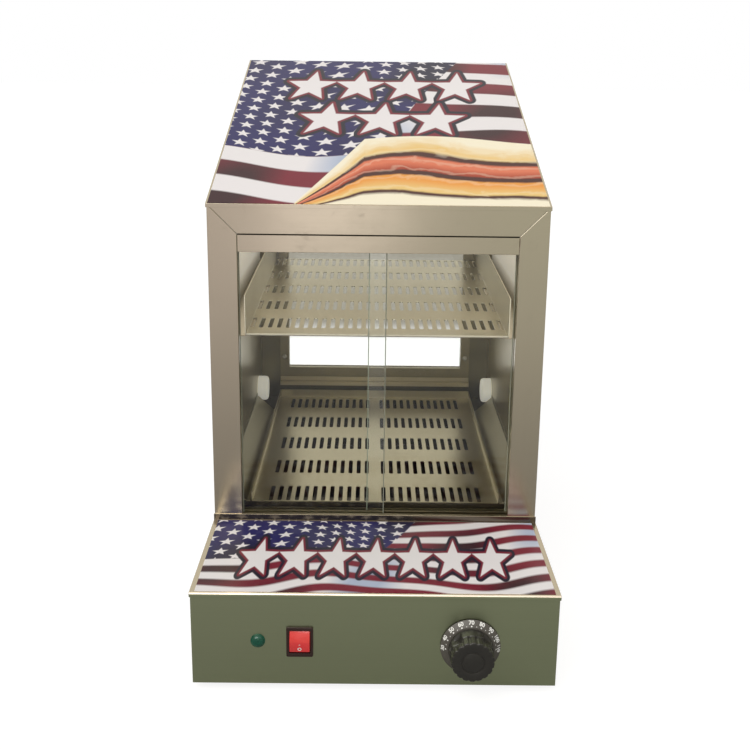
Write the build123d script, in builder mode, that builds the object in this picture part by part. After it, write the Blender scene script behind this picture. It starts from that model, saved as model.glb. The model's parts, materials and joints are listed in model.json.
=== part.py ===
"""Countertop hot dog steamer, in millimetres.

A folded sheet-steel cabinet holds a water pan with a tubular heater, a perforated tray over
the water and a perforated shelf above it. Two sliding glass doors close the front, a window
closes the back, and a low control box stands before the cabinet.

+X is to the right, +Y to the back and +Z up. The origin is on the counter, at the middle of
the whole outline. Depths are counted back from the cabinet's front face.
"""

import os
from math import atan, cos, degrees, hypot, pi, radians, sin, sqrt, tan

from build123d import *

os.makedirs("parts", exist_ok=True)

# ---------------------------------------------------------------- driving dimensions
WIDTH = 350.0
CABINET_DEPTH = 425.0
FRONT_HEIGHT = 450.0
BACK_HEIGHT = 592.0
BOX_DEPTH = 165.0
BOX_HEIGHT = 104.0
FOOT_HEIGHT = 8.0
SHEET = 1.0
PLAY = 0.3

LIP = 4.0                      # rim folded down round the two printed tops
LIP_FRONT = 5.0
UPSTAND = 7.0                  # rim folded up where the control top meets the cabinet
BASE_FLANGE = 14.0
VENTS = 6
VENT_PITCH = 24.0
VENT_SIZE = (6.0, 50.0)

BEZEL_WIDTH = 30.0
BEZEL_SHEET = 1.2
BEZEL_RETURN = 21.0
MITRE_GAP = 0.3
VALANCE_DROP = 19.0            # header that shows below the bezel

GLASS = 4.0
DOOR_OVERLAP = 19.0
DOOR_TOP_GAP = 17.0
TRACK_TOP = 111.0
GROOVE_WIDTH = 5.6
GROOVE_DEPTH = 5.0
FRONT_GROOVE = 7.0             # depth of the front groove's middle
REAR_GROOVE = 16.0
TRACK_DEPTH = 21.0

WALL_GAP = 10.0                # between the outer casing and the liner
LINER_BOTTOM = 113.5
LEDGE = 15.0
CEILING_GAP = 12.0

PAN_TOP = 115.5
PAN_BOTTOM = 30.0
PAN_SIDE_GAP = 34.0            # from the liner
PAN_FRONT = 36.0
PAN_BACK_GAP = 12.0            # from the inner back
PAN_APRON = 11.0
PAN_CORNER = 6.0

TRAY_SIDE_GAP = 27.5
TRAY_FRONT = 24.0
TRAY_BACK_GAP = 8.5
TRAY_RIM = 11.2
TRAY_HEM = 2.6
TRAY_FIRST_ROW = 22.0          # first row's middle, from the tray's front
TRAY_ROW_PITCH = 82.0
TRAY_SLOT_LENGTH = 42.0
TRAY_SLOT_PITCH = 9.7
TRAY_BORDER = 18.0             # no slots this close to the tray's sides

SHELF_SIDE_GAP = 24.0
SHELF_FRONT = 22.0
SHELF_BACK_GAP = 6.0
SHELF_FRONT_HEIGHT = 306.0
SHELF_SLOPE = 2.1              # degrees, up to the back
SHELF_FLANGE = 44.0
SHELF_HEM = 3.0
SHELF_FIRST_ROW = 50.0
SHELF_ROW_PITCH = 77.5
SHELF_SLOT_LENGTH = 40.0
SHELF_SLOT_PITCH = 9.78
SLOT_WIDTH = 4.8
SLOT_MARGIN = 3.0              # sheet left behind the last row

RAIL_SETBACK = 3.0
RAIL_LEG = 20.0
RAIL_REACH = 5.0               # how far the rail reaches under the shelf

GUIDE_FOOT = 4.0
DRIP_TOP = 140.0               # top of the sloping guides and of the ledge
GUIDE_BACK_GAP = 66.0

WINDOW_SIDE = 50.5             # from the cabinet's side to the window's edge
WINDOW_WIDTH = WIDTH - 2 * WINDOW_SIDE
WINDOW_HEIGHT = 240.0
WINDOW_BOTTOM = 160.0
WINDOW_BORDER = 13.0
WINDOW_REBATE = 6.5            # how far the pane reaches behind the border
FRAME_WALL = 4.0
FRAME_FACE = 2.0
FRAME_BODY = 7.0
WINDOW_SCREW_INSET = 16.0
SCREW_HEAD_RADIUS = 3.4
SCREW_HEAD = 1.8
SCREW_FLATS = 8

CAP_RADIUS = 17.0
CAP_HEIGHT = 14.0
CAP_ROUNDING = 4.0
CAP_FLATS = 24
CAP_BACK_GAP = 44.0
CAP_CENTRE = 141.0

KNOB_INSET = 83.5              # from the right side
KNOB_Z = 50.0
DIAL_RADIUS = 29.0
DIAL_TOP_RADIUS = 23.2
DIAL_THICK = 5.0
DIAL_GAP = 1.2
GRIP_RADIUS = 21.6
GRIP_TIP_RADIUS = 20.4
GRIP_LENGTH = 23.0
GRIP_FLUTES = 18
FLUTE_DEPTH = 0.9
FLUTE_LENGTH = 12.5
SCOOPS = 4
SCOOP_RADIUS = 10.0
SCOOP_DEPTH = 3.2
SCOOP_FLATS = 16
RING_FLATS = 24
SHAFT_RADIUS = 3.0

SWITCH_INSET = 103.5           # from the left side
SWITCH_Z = 53.5
SWITCH_BEZEL = (25.5, 31.0)
SWITCH_BODY = (21.8, 27.8)
SWITCH_WINDOW = (20.0, 23.8)
SWITCH_RIM = 2.2
SWITCH_BODY_DEPTH = 22.0
ROCKER_WIDTH = 19.2
ROCKER_HALF = 10.6
ROCKER_PIVOT = 5.0             # pivot behind the panel's face
ROCKER_TILT = 8.0
PIN_RADIUS = 1.5
BLADE = (4.8, 0.8, 8.0)        # the switch's contact blades
BLADE_PITCH = (8.0, 9.0)

LAMP_INSET = 63.5
LAMP_Z = 54.0
LAMP_RADIUS = 7.0
LAMP_NECK = 5.0
LAMP_DOME = 4.5
LAMP_BODY_LENGTH = 24.0

ELEMENT_RADIUS = 4.0
ELEMENT_Z = 50.0
ELEMENT_PITCH = 50.0
ELEMENT_FRONT = 80.0
ELEMENT_BACK_GAP = 22.0        # from the pan's back
ELEMENT_BEND = 24.0
ELEMENT_TAIL = 16.0
ELEMENT_FLATS = 6
PASS_HOLE = 6.0                # hole in the partition for the tube and the wires

BULB_INSET = 15.0              # from the pan's right side
BULB_Z = 54.0
BULB_RADIUS = 3.2
BULB_LENGTH = 90.0
CAPILLARY_RADIUS = 1.2
CAPILLARY_BEND = 30.0

GLAND_INSET = 55.0
GLAND_Z = 42.0
GLAND_NECK = 7.5
GLAND_HEX = 10.5               # radius over the corners of its nuts
CORD_RADIUS = 4.0

DRAIN_INSET = 63.0
DRAIN_Z = 41.0
DRAIN_RADIUS = 6.5
DRAIN_BORE = 4.5
DRAIN_REACH = 42.0
SPOUT_LENGTH = 9.0
LEVER_LENGTH = 40.0

FOOT_RADIUS = 14.0
FOOT_TAPER = 14.0              # degrees, wider to the top
FOOT_INSET = 30.0
SCREW_RADIUS = 2.0
TURNED_FLATS = 12              # flats that stand for a small turned surface

PRINT_THICK = 0.3
PRINT_BORDER = 4.0

# ---------------------------------------------------------------- what follows from them
HALF = WIDTH / 2
KNOB_REACH = DIAL_GAP + DIAL_THICK + GRIP_LENGTH
FRONT = (BOX_DEPTH + KNOB_REACH - CABINET_DEPTH - DRAIN_REACH) / 2
RISE = (BACK_HEIGHT - FRONT_HEIGHT) / CABINET_DEPTH
ROOF_ANGLE = degrees(atan(RISE))
SHEET_UPRIGHT = SHEET / cos(radians(ROOF_ANGLE))
BEZEL_TOP = FRONT_HEIGHT - SHEET_UPRIGHT
OPENING_HALF = HALF - BEZEL_WIDTH
LINER_HALF = HALF - WALL_GAP
INNER_BACK = CABINET_DEPTH - SHEET - CEILING_GAP
PAN_HALF = LINER_HALF - PAN_SIDE_GAP
PAN_BACK = INNER_BACK - PAN_BACK_GAP
TRAY_HALF = LINER_HALF - TRAY_SIDE_GAP
TRAY_BACK = INNER_BACK - TRAY_BACK_GAP
TRAY_FLOOR = PAN_TOP + PLAY
SHELF_HALF = LINER_HALF - SHELF_SIDE_GAP
SHELF_LENGTH = INNER_BACK - SHELF_BACK_GAP - SHELF_FRONT
BOX_FRONT = -BOX_DEPTH
BACK_FACE = CABINET_DEPTH - SHEET
KNOB_X = HALF - KNOB_INSET
SWITCH_X = -HALF + SWITCH_INSET
LAMP_X = -HALF + LAMP_INSET
BULB_X = PAN_HALF - BULB_INSET
GLAND_X = -HALF + GLAND_INSET
DRAIN_X = HALF - DRAIN_INSET


def roof(depth):
    """Height of the roof's outer face at a depth."""
    return FRONT_HEIGHT + RISE * depth


def upright(depth):
    """A plane that faces the front, at a depth: x is to the right and y is up."""
    return Plane.XZ.offset(-(FRONT + depth))


def level(height):
    """A plane that faces up, at a height, with depths as its y."""
    return Plane(origin=(0, FRONT, height))


def side(x):
    """A plane that faces right, at x, with depths as its x and heights as its y."""
    return Plane(origin=(x, FRONT, 0), x_dir=(0, 1, 0), z_dir=(1, 0, 0))


def bent_sheet(*points, thick=SHEET, hand=Side.RIGHT):
    """The section of a bent sheet: a line through its outer corners, and its offset."""
    with BuildLine() as bend:
        Polyline(*points)
        offset(amount=thick, side=hand, kind=Kind.INTERSECTION)
    make_face(bend.edges())


def patch(x0, x1, y0, y1, mode=Mode.ADD):
    """A rectangle between two corners of the sketch."""
    with Locations(((x0 + x1) / 2, (y0 + y1) / 2)):
        Rectangle(x1 - x0, y1 - y0, mode=mode)


def cut_slots(columns, pitch, first, last, row_pitch, length):
    """Rows of slots, as many as fit, taken out of the sheet being sketched."""
    rows = 1 + int((last - SLOT_MARGIN - length / 2 - first) // row_pitch)
    places = [(x * pitch, first + row * row_pitch) for row in range(rows) for x in columns]
    with Locations(*places):
        Rectangle(SLOT_WIDTH, length, mode=Mode.SUBTRACT)


def turned(radius, mode=Mode.ADD):
    """The outline of a small turned piece: flats that touch a circle from outside."""
    RegularPolygon(radius, TURNED_FLATS, major_radius=False, mode=mode)


def finish(maker, name):
    """Name a finished piece and write it."""
    maker.part.label = name
    export_step(maker.part, f"parts/{name}.step")


# ---------------------------------------------------------------- base and feet
foot_places = [
    (x, y)
    for x in (-HALF + FOOT_INSET, HALF - FOOT_INSET)
    for y in (BOX_FRONT + FOOT_INSET, CABINET_DEPTH - FOOT_INSET)
]
BASE_FLOOR = FOOT_HEIGHT + SHEET

with BuildPart() as base_tray:
    with BuildSketch(level(FOOT_HEIGHT)):
        patch(-HALF + SHEET, HALF - SHEET, BOX_FRONT + SHEET, BACK_FACE)
    extrude(amount=SHEET + BASE_FLANGE)
    with BuildSketch(level(BASE_FLOOR)):
        patch(-HALF + 2 * SHEET, HALF - 2 * SHEET, BOX_FRONT + 2 * SHEET, BACK_FACE - SHEET)
    extrude(amount=BASE_FLANGE, mode=Mode.SUBTRACT)
    with BuildSketch(level(FOOT_HEIGHT)):
        with Locations(*foot_places):
            turned(SCREW_RADIUS + PLAY)
        with Locations((0, BOX_FRONT / 2)):
            with GridLocations(VENT_PITCH, 1, VENTS, 1):
                Rectangle(*VENT_SIZE)
    extrude(amount=SHEET, mode=Mode.SUBTRACT)
finish(base_tray, "base_tray")

FOOT_RECESS = 4.0
FOOT_SCREW_HEAD = 2.5
FOOT_NUT = (3.9, 3.2)          # radius over its corners, and height
foot_bottom = FOOT_RADIUS - FOOT_HEIGHT * tan(radians(FOOT_TAPER))
with BuildPart() as feet:
    with BuildSketch(level(0)):
        with Locations(*foot_places):
            turned(foot_bottom)
    extrude(amount=FOOT_HEIGHT, taper=-FOOT_TAPER)
    with BuildSketch(level(0)):
        with Locations(*foot_places):
            turned(SCREW_RADIUS + 3)
    extrude(amount=FOOT_RECESS, mode=Mode.SUBTRACT)
    with BuildSketch(level(0)):
        with Locations(*foot_places):
            turned(SCREW_RADIUS + PLAY)
    extrude(amount=FOOT_HEIGHT, mode=Mode.SUBTRACT)
finish(feet, "feet")

with BuildPart() as foot_screws:
    with BuildSketch(level(FOOT_RECESS - FOOT_SCREW_HEAD)):
        with Locations(*foot_places):
            turned(SCREW_RADIUS + 2)
    extrude(amount=FOOT_SCREW_HEAD)
    with BuildSketch(level(FOOT_RECESS)):
        with Locations(*foot_places):
            turned(SCREW_RADIUS)
    extrude(amount=BASE_FLOOR + FOOT_NUT[1] + 2 - FOOT_RECESS)
    with BuildSketch(level(BASE_FLOOR)):
        with Locations(*foot_places):
            RegularPolygon(FOOT_NUT[0], 6)
    extrude(amount=FOOT_NUT[1])
finish(foot_screws, "foot_screws")

# ---------------------------------------------------------------- outer casing
with BuildPart() as side_panel_left:
    with BuildSketch(side(-HALF)):
        with BuildLine():
            Polyline(
                (BOX_FRONT + SHEET, FOOT_HEIGHT),
                (BACK_FACE, FOOT_HEIGHT),
                (BACK_FACE, roof(BACK_FACE) - SHEET_UPRIGHT),
                (BEZEL_SHEET, roof(BEZEL_SHEET) - SHEET_UPRIGHT),
                (BEZEL_SHEET, BOX_HEIGHT - SHEET),
                (BOX_FRONT + SHEET, BOX_HEIGHT - SHEET),
                close=True,
            )
        make_face()
    extrude(amount=SHEET)
finish(side_panel_left, "side_panel_left")

with BuildPart() as side_panel_right:
    mirror(side_panel_left.part, about=Plane.YZ)
finish(side_panel_right, "side_panel_right")

with BuildPart() as back_panel:
    with BuildSketch(upright(CABINET_DEPTH)):
        patch(-HALF, HALF, FOOT_HEIGHT, roof(BACK_FACE) - SHEET_UPRIGHT)
        patch(
            -WINDOW_WIDTH / 2, WINDOW_WIDTH / 2,
            WINDOW_BOTTOM, WINDOW_BOTTOM + WINDOW_HEIGHT, mode=Mode.SUBTRACT,
        )
        with Locations((GLAND_X, GLAND_Z)):
            Circle(GLAND_NECK + PLAY, mode=Mode.SUBTRACT)
        with Locations((DRAIN_X, DRAIN_Z)):
            turned(DRAIN_RADIUS + 1, mode=Mode.SUBTRACT)
    extrude(amount=SHEET)
finish(back_panel, "back_panel")

ROOF_OVERHANG = 1.0
with BuildPart() as top_panel:
    roof_front = -ROOF_OVERHANG
    roof_back = CABINET_DEPTH + ROOF_OVERHANG
    with BuildSketch(side(-HALF - SHEET)):
        bent_sheet(
            (roof_front, roof(roof_front) - LIP),
            (roof_front, roof(roof_front)),
            (roof_back, roof(roof_back)),
            (roof_back, roof(roof_back) - LIP),
        )
    extrude(amount=WIDTH + 2 * SHEET)
    for x in (-HALF - SHEET, HALF):
        with BuildSketch(side(x)):
            with BuildLine():
                Polyline(
                    (roof_front, roof(roof_front) - LIP),
                    (roof_front, roof(roof_front)),
                    (roof_back, roof(roof_back)),
                    (roof_back, roof(roof_back) - LIP),
                    close=True,
                )
            make_face()
        extrude(amount=SHEET)
finish(top_panel, "top_panel")

roof_plane = Plane(
    origin=(0, FRONT, FRONT_HEIGHT),
    x_dir=(1, 0, 0),
    z_dir=(0, -sin(radians(ROOF_ANGLE)), cos(radians(ROOF_ANGLE))),
)
roof_length = hypot(CABINET_DEPTH, BACK_HEIGHT - FRONT_HEIGHT)
with BuildPart() as top_print:
    with BuildSketch(roof_plane):
        patch(-HALF + PRINT_BORDER / 4, HALF - PRINT_BORDER / 4, 0, roof_length)
    extrude(amount=PRINT_THICK)
finish(top_print, "top_print")

# ---------------------------------------------------------------- front bezel
mitre = MITRE_GAP / sqrt(2)
with BuildPart() as bezel_top_rail:
    with BuildSketch(upright(BEZEL_SHEET)):
        with BuildLine():
            Polyline(
                (-HALF + 2 * mitre, BEZEL_TOP),
                (HALF - 2 * mitre, BEZEL_TOP),
                (OPENING_HALF - 2 * mitre, BEZEL_TOP - BEZEL_WIDTH),
                (-OPENING_HALF + 2 * mitre, BEZEL_TOP - BEZEL_WIDTH),
                close=True,
            )
        make_face()
    extrude(amount=BEZEL_SHEET)
    with BuildSketch(upright(BEZEL_SHEET)):
        patch(-HALF + 2 * SHEET, HALF - 2 * SHEET, BEZEL_TOP - BEZEL_SHEET, BEZEL_TOP)
    extrude(amount=-BEZEL_RETURN / 2)
finish(bezel_top_rail, "bezel_top_rail")

with BuildPart() as bezel_stile_left:
    with BuildSketch(upright(BEZEL_SHEET)):
        with BuildLine():
            Polyline(
                (-HALF, BOX_HEIGHT),
                (-OPENING_HALF, BOX_HEIGHT),
                (-OPENING_HALF, BEZEL_TOP - BEZEL_WIDTH),
                (-HALF, BEZEL_TOP),
                close=True,
            )
        make_face()
    extrude(amount=BEZEL_SHEET)
    with BuildSketch(level(BOX_HEIGHT)):
        patch(-OPENING_HALF - BEZEL_SHEET, -OPENING_HALF, BEZEL_SHEET, BEZEL_RETURN)
        patch(-HALF + SHEET, -HALF + SHEET + BEZEL_SHEET, BEZEL_SHEET, BEZEL_RETURN / 2)
    extrude(amount=BEZEL_TOP - BEZEL_WIDTH - BOX_HEIGHT - 2)
finish(bezel_stile_left, "bezel_stile_left")

with BuildPart() as bezel_stile_right:
    mirror(bezel_stile_left.part, about=Plane.YZ)
finish(bezel_stile_right, "bezel_stile_right")

# ---------------------------------------------------------------- door tracks
VALANCE_BOTTOM = BEZEL_TOP - BEZEL_WIDTH - VALANCE_DROP
TRACK_HALF = OPENING_HALF - PLAY
RIB_TOP = BEZEL_TOP - 5
groove_half = GROOVE_WIDTH / 2
mid_rib = (FRONT_GROOVE + REAR_GROOVE) / 2
with BuildPart() as header_track:
    with BuildSketch(side(-TRACK_HALF)):
        patch(BEZEL_SHEET, BEZEL_SHEET + SHEET, VALANCE_BOTTOM, RIB_TOP)
        patch(BEZEL_SHEET, TRACK_DEPTH, RIB_TOP - SHEET, RIB_TOP)
        patch(mid_rib - SHEET / 2, mid_rib + SHEET / 2, VALANCE_BOTTOM + 8, RIB_TOP)
        patch(TRACK_DEPTH - SHEET, TRACK_DEPTH, VALANCE_BOTTOM + 4, RIB_TOP)
    extrude(amount=2 * TRACK_HALF)
finish(header_track, "header_track")

GROOVE_FLOOR = TRACK_TOP - GROOVE_DEPTH
SKIRT_BOTTOM = GROOVE_FLOOR - 7
with BuildPart() as sill_track:
    with BuildSketch(side(-TRACK_HALF)):
        bent_sheet(
            (0, SKIRT_BOTTOM),
            (0, TRACK_TOP),
            (FRONT_GROOVE - groove_half, TRACK_TOP),
            (FRONT_GROOVE - groove_half, GROOVE_FLOOR),
            (FRONT_GROOVE + groove_half, GROOVE_FLOOR),
            (FRONT_GROOVE + groove_half, TRACK_TOP),
            (REAR_GROOVE - groove_half, TRACK_TOP),
            (REAR_GROOVE - groove_half, GROOVE_FLOOR),
            (REAR_GROOVE + groove_half, GROOVE_FLOOR),
            (REAR_GROOVE + groove_half, TRACK_TOP),
            (TRACK_DEPTH, TRACK_TOP),
            (TRACK_DEPTH, SKIRT_BOTTOM),
        )
    extrude(amount=2 * TRACK_HALF)
finish(sill_track, "sill_track")

# ---------------------------------------------------------------- sliding doors
DOOR_BOTTOM = GROOVE_FLOOR + PLAY
DOOR_TOP = RIB_TOP - DOOR_TOP_GAP
door_outer = OPENING_HALF - PLAY
door_inner = DOOR_OVERLAP / 2
with BuildPart() as door_left:
    with BuildSketch(upright(FRONT_GROOVE + GLASS / 2)):
        patch(-door_outer, door_inner, DOOR_BOTTOM, DOOR_TOP)
    extrude(amount=GLASS)
    chamfer(door_left.edges().filter_by(Axis.Z), 0.6)
finish(door_left, "door_left")

with BuildPart() as door_right:
    with BuildSketch(upright(REAR_GROOVE + GLASS / 2)):
        patch(-door_inner, door_outer, DOOR_BOTTOM, DOOR_TOP)
    extrude(amount=GLASS)
    chamfer(door_right.edges().filter_by(Axis.Z), 0.6)
finish(door_right, "door_right")

# ---------------------------------------------------------------- control box
box_lip_front = BOX_FRONT - SHEET
with BuildPart() as control_top:
    with BuildSketch(side(-HALF - SHEET)):
        bent_sheet(
            (box_lip_front, BOX_HEIGHT - LIP_FRONT),
            (box_lip_front, BOX_HEIGHT),
            (-SHEET, BOX_HEIGHT),
            (-SHEET, BOX_HEIGHT + UPSTAND),
        )
    extrude(amount=WIDTH + 2 * SHEET)
    for x in (-HALF - SHEET, HALF):
        with BuildSketch(side(x)):
            patch(box_lip_front, 0, BOX_HEIGHT - LIP_FRONT, BOX_HEIGHT)
        extrude(amount=SHEET)
finish(control_top, "control_top")

with BuildPart() as control_print:
    with BuildSketch(level(BOX_HEIGHT)):
        patch(-HALF + PRINT_BORDER, HALF - PRINT_BORDER, BOX_FRONT + 2, -3)
    extrude(amount=PRINT_THICK)
finish(control_print, "control_print")

BRACKET_HOLE_PITCH = 28.0
STIFFENER = 11.0               # edge folded back to stiffen a sheet
with BuildPart() as control_front:
    with BuildSketch(upright(BOX_FRONT + SHEET)):
        patch(-HALF, HALF, FOOT_HEIGHT, BOX_HEIGHT - SHEET)
        with Locations((SWITCH_X, SWITCH_Z)):
            Rectangle(SWITCH_BODY[0] + PLAY, SWITCH_BODY[1] + PLAY, mode=Mode.SUBTRACT)
        with Locations((LAMP_X, LAMP_Z)):
            turned(LAMP_NECK + PLAY, mode=Mode.SUBTRACT)
        with Locations((KNOB_X, KNOB_Z)):
            turned(SHAFT_RADIUS + 1.5, mode=Mode.SUBTRACT)
            with GridLocations(BRACKET_HOLE_PITCH, 1, 2, 1):
                turned(SCREW_RADIUS + PLAY, mode=Mode.SUBTRACT)
    extrude(amount=SHEET)
    with BuildSketch(level(BOX_HEIGHT - 2 * SHEET)):
        patch(-HALF + SHEET, HALF - SHEET, BOX_FRONT + SHEET, BOX_FRONT + SHEET + STIFFENER)
    extrude(amount=SHEET)
finish(control_front, "control_front")

with BuildPart() as partition:
    partition_depth = FRONT_GROOVE
    partition_half = HALF - 2 * SHEET - BEZEL_SHEET
    with BuildSketch(upright(partition_depth + SHEET)):
        patch(-partition_half, partition_half, BASE_FLOOR, BOX_HEIGHT)
        patch(-TRACK_HALF, TRACK_HALF, BOX_HEIGHT, GROOVE_FLOOR - SHEET)
        with Locations((BULB_X, BULB_Z), (0, ELEMENT_Z)):
            turned(PASS_HOLE, mode=Mode.SUBTRACT)
    extrude(amount=SHEET)
    with BuildSketch(level(BASE_FLOOR)):
        patch(
            -partition_half, partition_half,
            partition_depth + SHEET, partition_depth + SHEET + STIFFENER,
        )
    extrude(amount=SHEET)
finish(partition, "partition")

# ---------------------------------------------------------------- liner
LINER_FRONT = TRACK_DEPTH + PLAY


def ceiling(depth):
    """Height of the ceiling liner's under face at a depth."""
    return roof(depth) - CEILING_GAP - SHEET_UPRIGHT


with BuildPart() as inner_wall_left:
    with BuildSketch(side(-LINER_HALF - SHEET)):
        with BuildLine():
            Polyline(
                (LINER_FRONT, LINER_BOTTOM),
                (INNER_BACK, LINER_BOTTOM),
                (INNER_BACK, ceiling(INNER_BACK) + SHEET_UPRIGHT),
                (LINER_FRONT, ceiling(LINER_FRONT) + SHEET_UPRIGHT),
                close=True,
            )
        make_face()
    extrude(amount=SHEET)
    with BuildSketch(upright(LINER_FRONT + SHEET)):
        patch(-LINER_HALF, -OPENING_HALF - SHEET, LINER_BOTTOM, ceiling(LINER_FRONT))
    extrude(amount=SHEET)
    with BuildSketch(level(LINER_BOTTOM)):
        patch(-LINER_HALF, -LINER_HALF + LEDGE, LINER_FRONT, INNER_BACK)
    extrude(amount=SHEET)
finish(inner_wall_left, "inner_wall_left")

with BuildPart() as inner_wall_right:
    mirror(inner_wall_left.part, about=Plane.YZ)
finish(inner_wall_right, "inner_wall_right")

frame_half = WINDOW_WIDTH / 2 + FRAME_WALL
frame_low = WINDOW_BOTTOM - FRAME_WALL
frame_high = WINDOW_BOTTOM + WINDOW_HEIGHT + FRAME_WALL
with BuildPart() as inner_back:
    with BuildSketch(upright(INNER_BACK + SHEET)):
        patch(
            -LINER_HALF - SHEET, LINER_HALF + SHEET,
            LINER_BOTTOM, ceiling(INNER_BACK) + SHEET_UPRIGHT,
        )
        patch(
            -frame_half - PLAY, frame_half + PLAY, frame_low - PLAY, frame_high + PLAY,
            mode=Mode.SUBTRACT,
        )
    extrude(amount=SHEET)
finish(inner_back, "inner_back")

with BuildPart() as ceiling_liner:
    ceiling_front = LINER_FRONT + SHEET
    with BuildSketch(side(-LINER_HALF)):
        with BuildLine():
            Polyline(
                (ceiling_front, ceiling(ceiling_front)),
                (INNER_BACK, ceiling(INNER_BACK)),
                (INNER_BACK, ceiling(INNER_BACK) + SHEET_UPRIGHT),
                (ceiling_front, ceiling(ceiling_front) + SHEET_UPRIGHT),
                close=True,
            )
        make_face()
    extrude(amount=2 * LINER_HALF)
finish(ceiling_liner, "ceiling_liner")

# ---------------------------------------------------------------- rear window
WINDOW_MIDDLE = WINDOW_BOTTOM + WINDOW_HEIGHT / 2
PANE_FRONT = INNER_BACK + FRAME_BODY
GASKET_FRONT = PANE_FRONT + GLASS
border = 2 * WINDOW_BORDER
with BuildPart() as rear_window_frame:
    with BuildSketch(upright(INNER_BACK)):
        with Locations((0, WINDOW_MIDDLE)):
            Rectangle(WINDOW_WIDTH + border, WINDOW_HEIGHT + border)
    extrude(amount=FRAME_FACE)
    with BuildSketch(upright(PANE_FRONT)):
        with Locations((0, WINDOW_MIDDLE)):
            Rectangle(WINDOW_WIDTH + 2 * FRAME_WALL, WINDOW_HEIGHT + 2 * FRAME_WALL)
    extrude(amount=FRAME_BODY)
    with BuildSketch(upright(PANE_FRONT)):
        with Locations((0, WINDOW_MIDDLE)):
            Rectangle(WINDOW_WIDTH, WINDOW_HEIGHT)
    extrude(amount=FRAME_BODY + FRAME_FACE, mode=Mode.SUBTRACT)
finish(rear_window_frame, "rear_window_frame")

with BuildPart() as rear_window_glass:
    with BuildSketch(upright(GASKET_FRONT)):
        with Locations((0, WINDOW_MIDDLE)):
            Rectangle(WINDOW_WIDTH + 2 * WINDOW_REBATE, WINDOW_HEIGHT + 2 * WINDOW_REBATE)
    extrude(amount=GLASS)
finish(rear_window_glass, "rear_window_glass")

with BuildPart() as rear_window_gasket:
    with BuildSketch(upright(BACK_FACE)):
        with Locations((0, WINDOW_MIDDLE)):
            Rectangle(WINDOW_WIDTH + 2 * WINDOW_REBATE, WINDOW_HEIGHT + 2 * WINDOW_REBATE)
            Rectangle(WINDOW_WIDTH + 1, WINDOW_HEIGHT + 1, mode=Mode.SUBTRACT)
    extrude(amount=BACK_FACE - GASKET_FRONT)
finish(rear_window_gasket, "rear_window_gasket")

screw_x = WINDOW_WIDTH / 2 + WINDOW_BORDER / 2
screw_low = WINDOW_BOTTOM + WINDOW_SCREW_INSET
screw_high = WINDOW_BOTTOM + WINDOW_HEIGHT - WINDOW_SCREW_INSET
with BuildPart() as rear_window_screws:
    with BuildSketch(upright(INNER_BACK - FRAME_FACE)):
        with Locations(
            (-screw_x, screw_low), (screw_x, screw_low),
            (-screw_x, screw_high), (screw_x, screw_high),
        ):
            RegularPolygon(SCREW_HEAD_RADIUS, SCREW_FLATS)
    extrude(amount=SCREW_HEAD, taper=20)
finish(rear_window_screws, "rear_window_screws")

LEDGE_LEG = 6.0
with BuildPart() as rear_ledge:
    with BuildSketch(side(-TRAY_HALF)):
        bent_sheet(
            (TRAY_BACK + SHEET, DRIP_TOP - LEDGE_LEG),
            (TRAY_BACK + SHEET, DRIP_TOP),
            (INNER_BACK - SHEET, DRIP_TOP),
            (INNER_BACK - SHEET, DRIP_TOP + LEDGE_LEG),
        )
    extrude(amount=2 * TRAY_HALF)
finish(rear_ledge, "rear_ledge")

# ---------------------------------------------------------------- water pan
pan_flange = LINER_HALF - PLAY
pan_flange_front = LINER_FRONT + SHEET + PLAY
pan_flange_back = INNER_BACK - SHEET - PLAY
terminals = (-1.5 * ELEMENT_PITCH, 1.5 * ELEMENT_PITCH)
with BuildPart() as water_pan:
    with BuildSketch(level(PAN_BOTTOM)):
        patch(-PAN_HALF, PAN_HALF, PAN_FRONT, PAN_BACK)
    extrude(amount=PAN_TOP - PAN_BOTTOM)
    chamfer(water_pan.edges().group_by(Axis.Z)[0], PAN_CORNER)
    offset(amount=-SHEET, openings=water_pan.faces().sort_by(Axis.Z)[-1])
    with BuildSketch(level(PAN_TOP)):
        patch(-pan_flange, pan_flange, pan_flange_front, pan_flange_back)
        patch(
            -PAN_HALF + SHEET, PAN_HALF - SHEET, PAN_FRONT + SHEET, PAN_BACK - SHEET,
            mode=Mode.SUBTRACT,
        )
    extrude(amount=-SHEET)
    with BuildSketch(upright(pan_flange_front + SHEET)):
        patch(-OPENING_HALF, OPENING_HALF, PAN_TOP - PAN_APRON, PAN_TOP)
    extrude(amount=SHEET)
    with BuildSketch(upright(PAN_FRONT + SHEET)):
        with Locations(*[(x, ELEMENT_Z) for x in terminals]):
            turned(ELEMENT_RADIUS + PLAY)
        with Locations((BULB_X, BULB_Z)):
            turned(BULB_RADIUS + PLAY)
    extrude(amount=SHEET, mode=Mode.SUBTRACT)
    with BuildSketch(upright(PAN_BACK)):
        with Locations((DRAIN_X, DRAIN_Z)):
            turned(DRAIN_BORE)
    extrude(amount=SHEET, mode=Mode.SUBTRACT)
finish(water_pan, "water_pan")

guide_inner = TRAY_HALF + 1.2
with BuildPart() as drip_guide_left:
    with BuildSketch(upright(pan_flange_front + SHEET)):
        bent_sheet(
            (-LINER_HALF, DRIP_TOP),
            (-LINER_HALF, DRIP_TOP - GUIDE_FOOT),
            (-guide_inner - GUIDE_FOOT, PAN_TOP),
            (-guide_inner, PAN_TOP),
            hand=Side.LEFT,
        )
    extrude(amount=-(INNER_BACK - GUIDE_BACK_GAP - pan_flange_front))
finish(drip_guide_left, "drip_guide_left")

with BuildPart() as drip_guide_right:
    mirror(drip_guide_left.part, about=Plane.YZ)
finish(drip_guide_right, "drip_guide_right")

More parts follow.
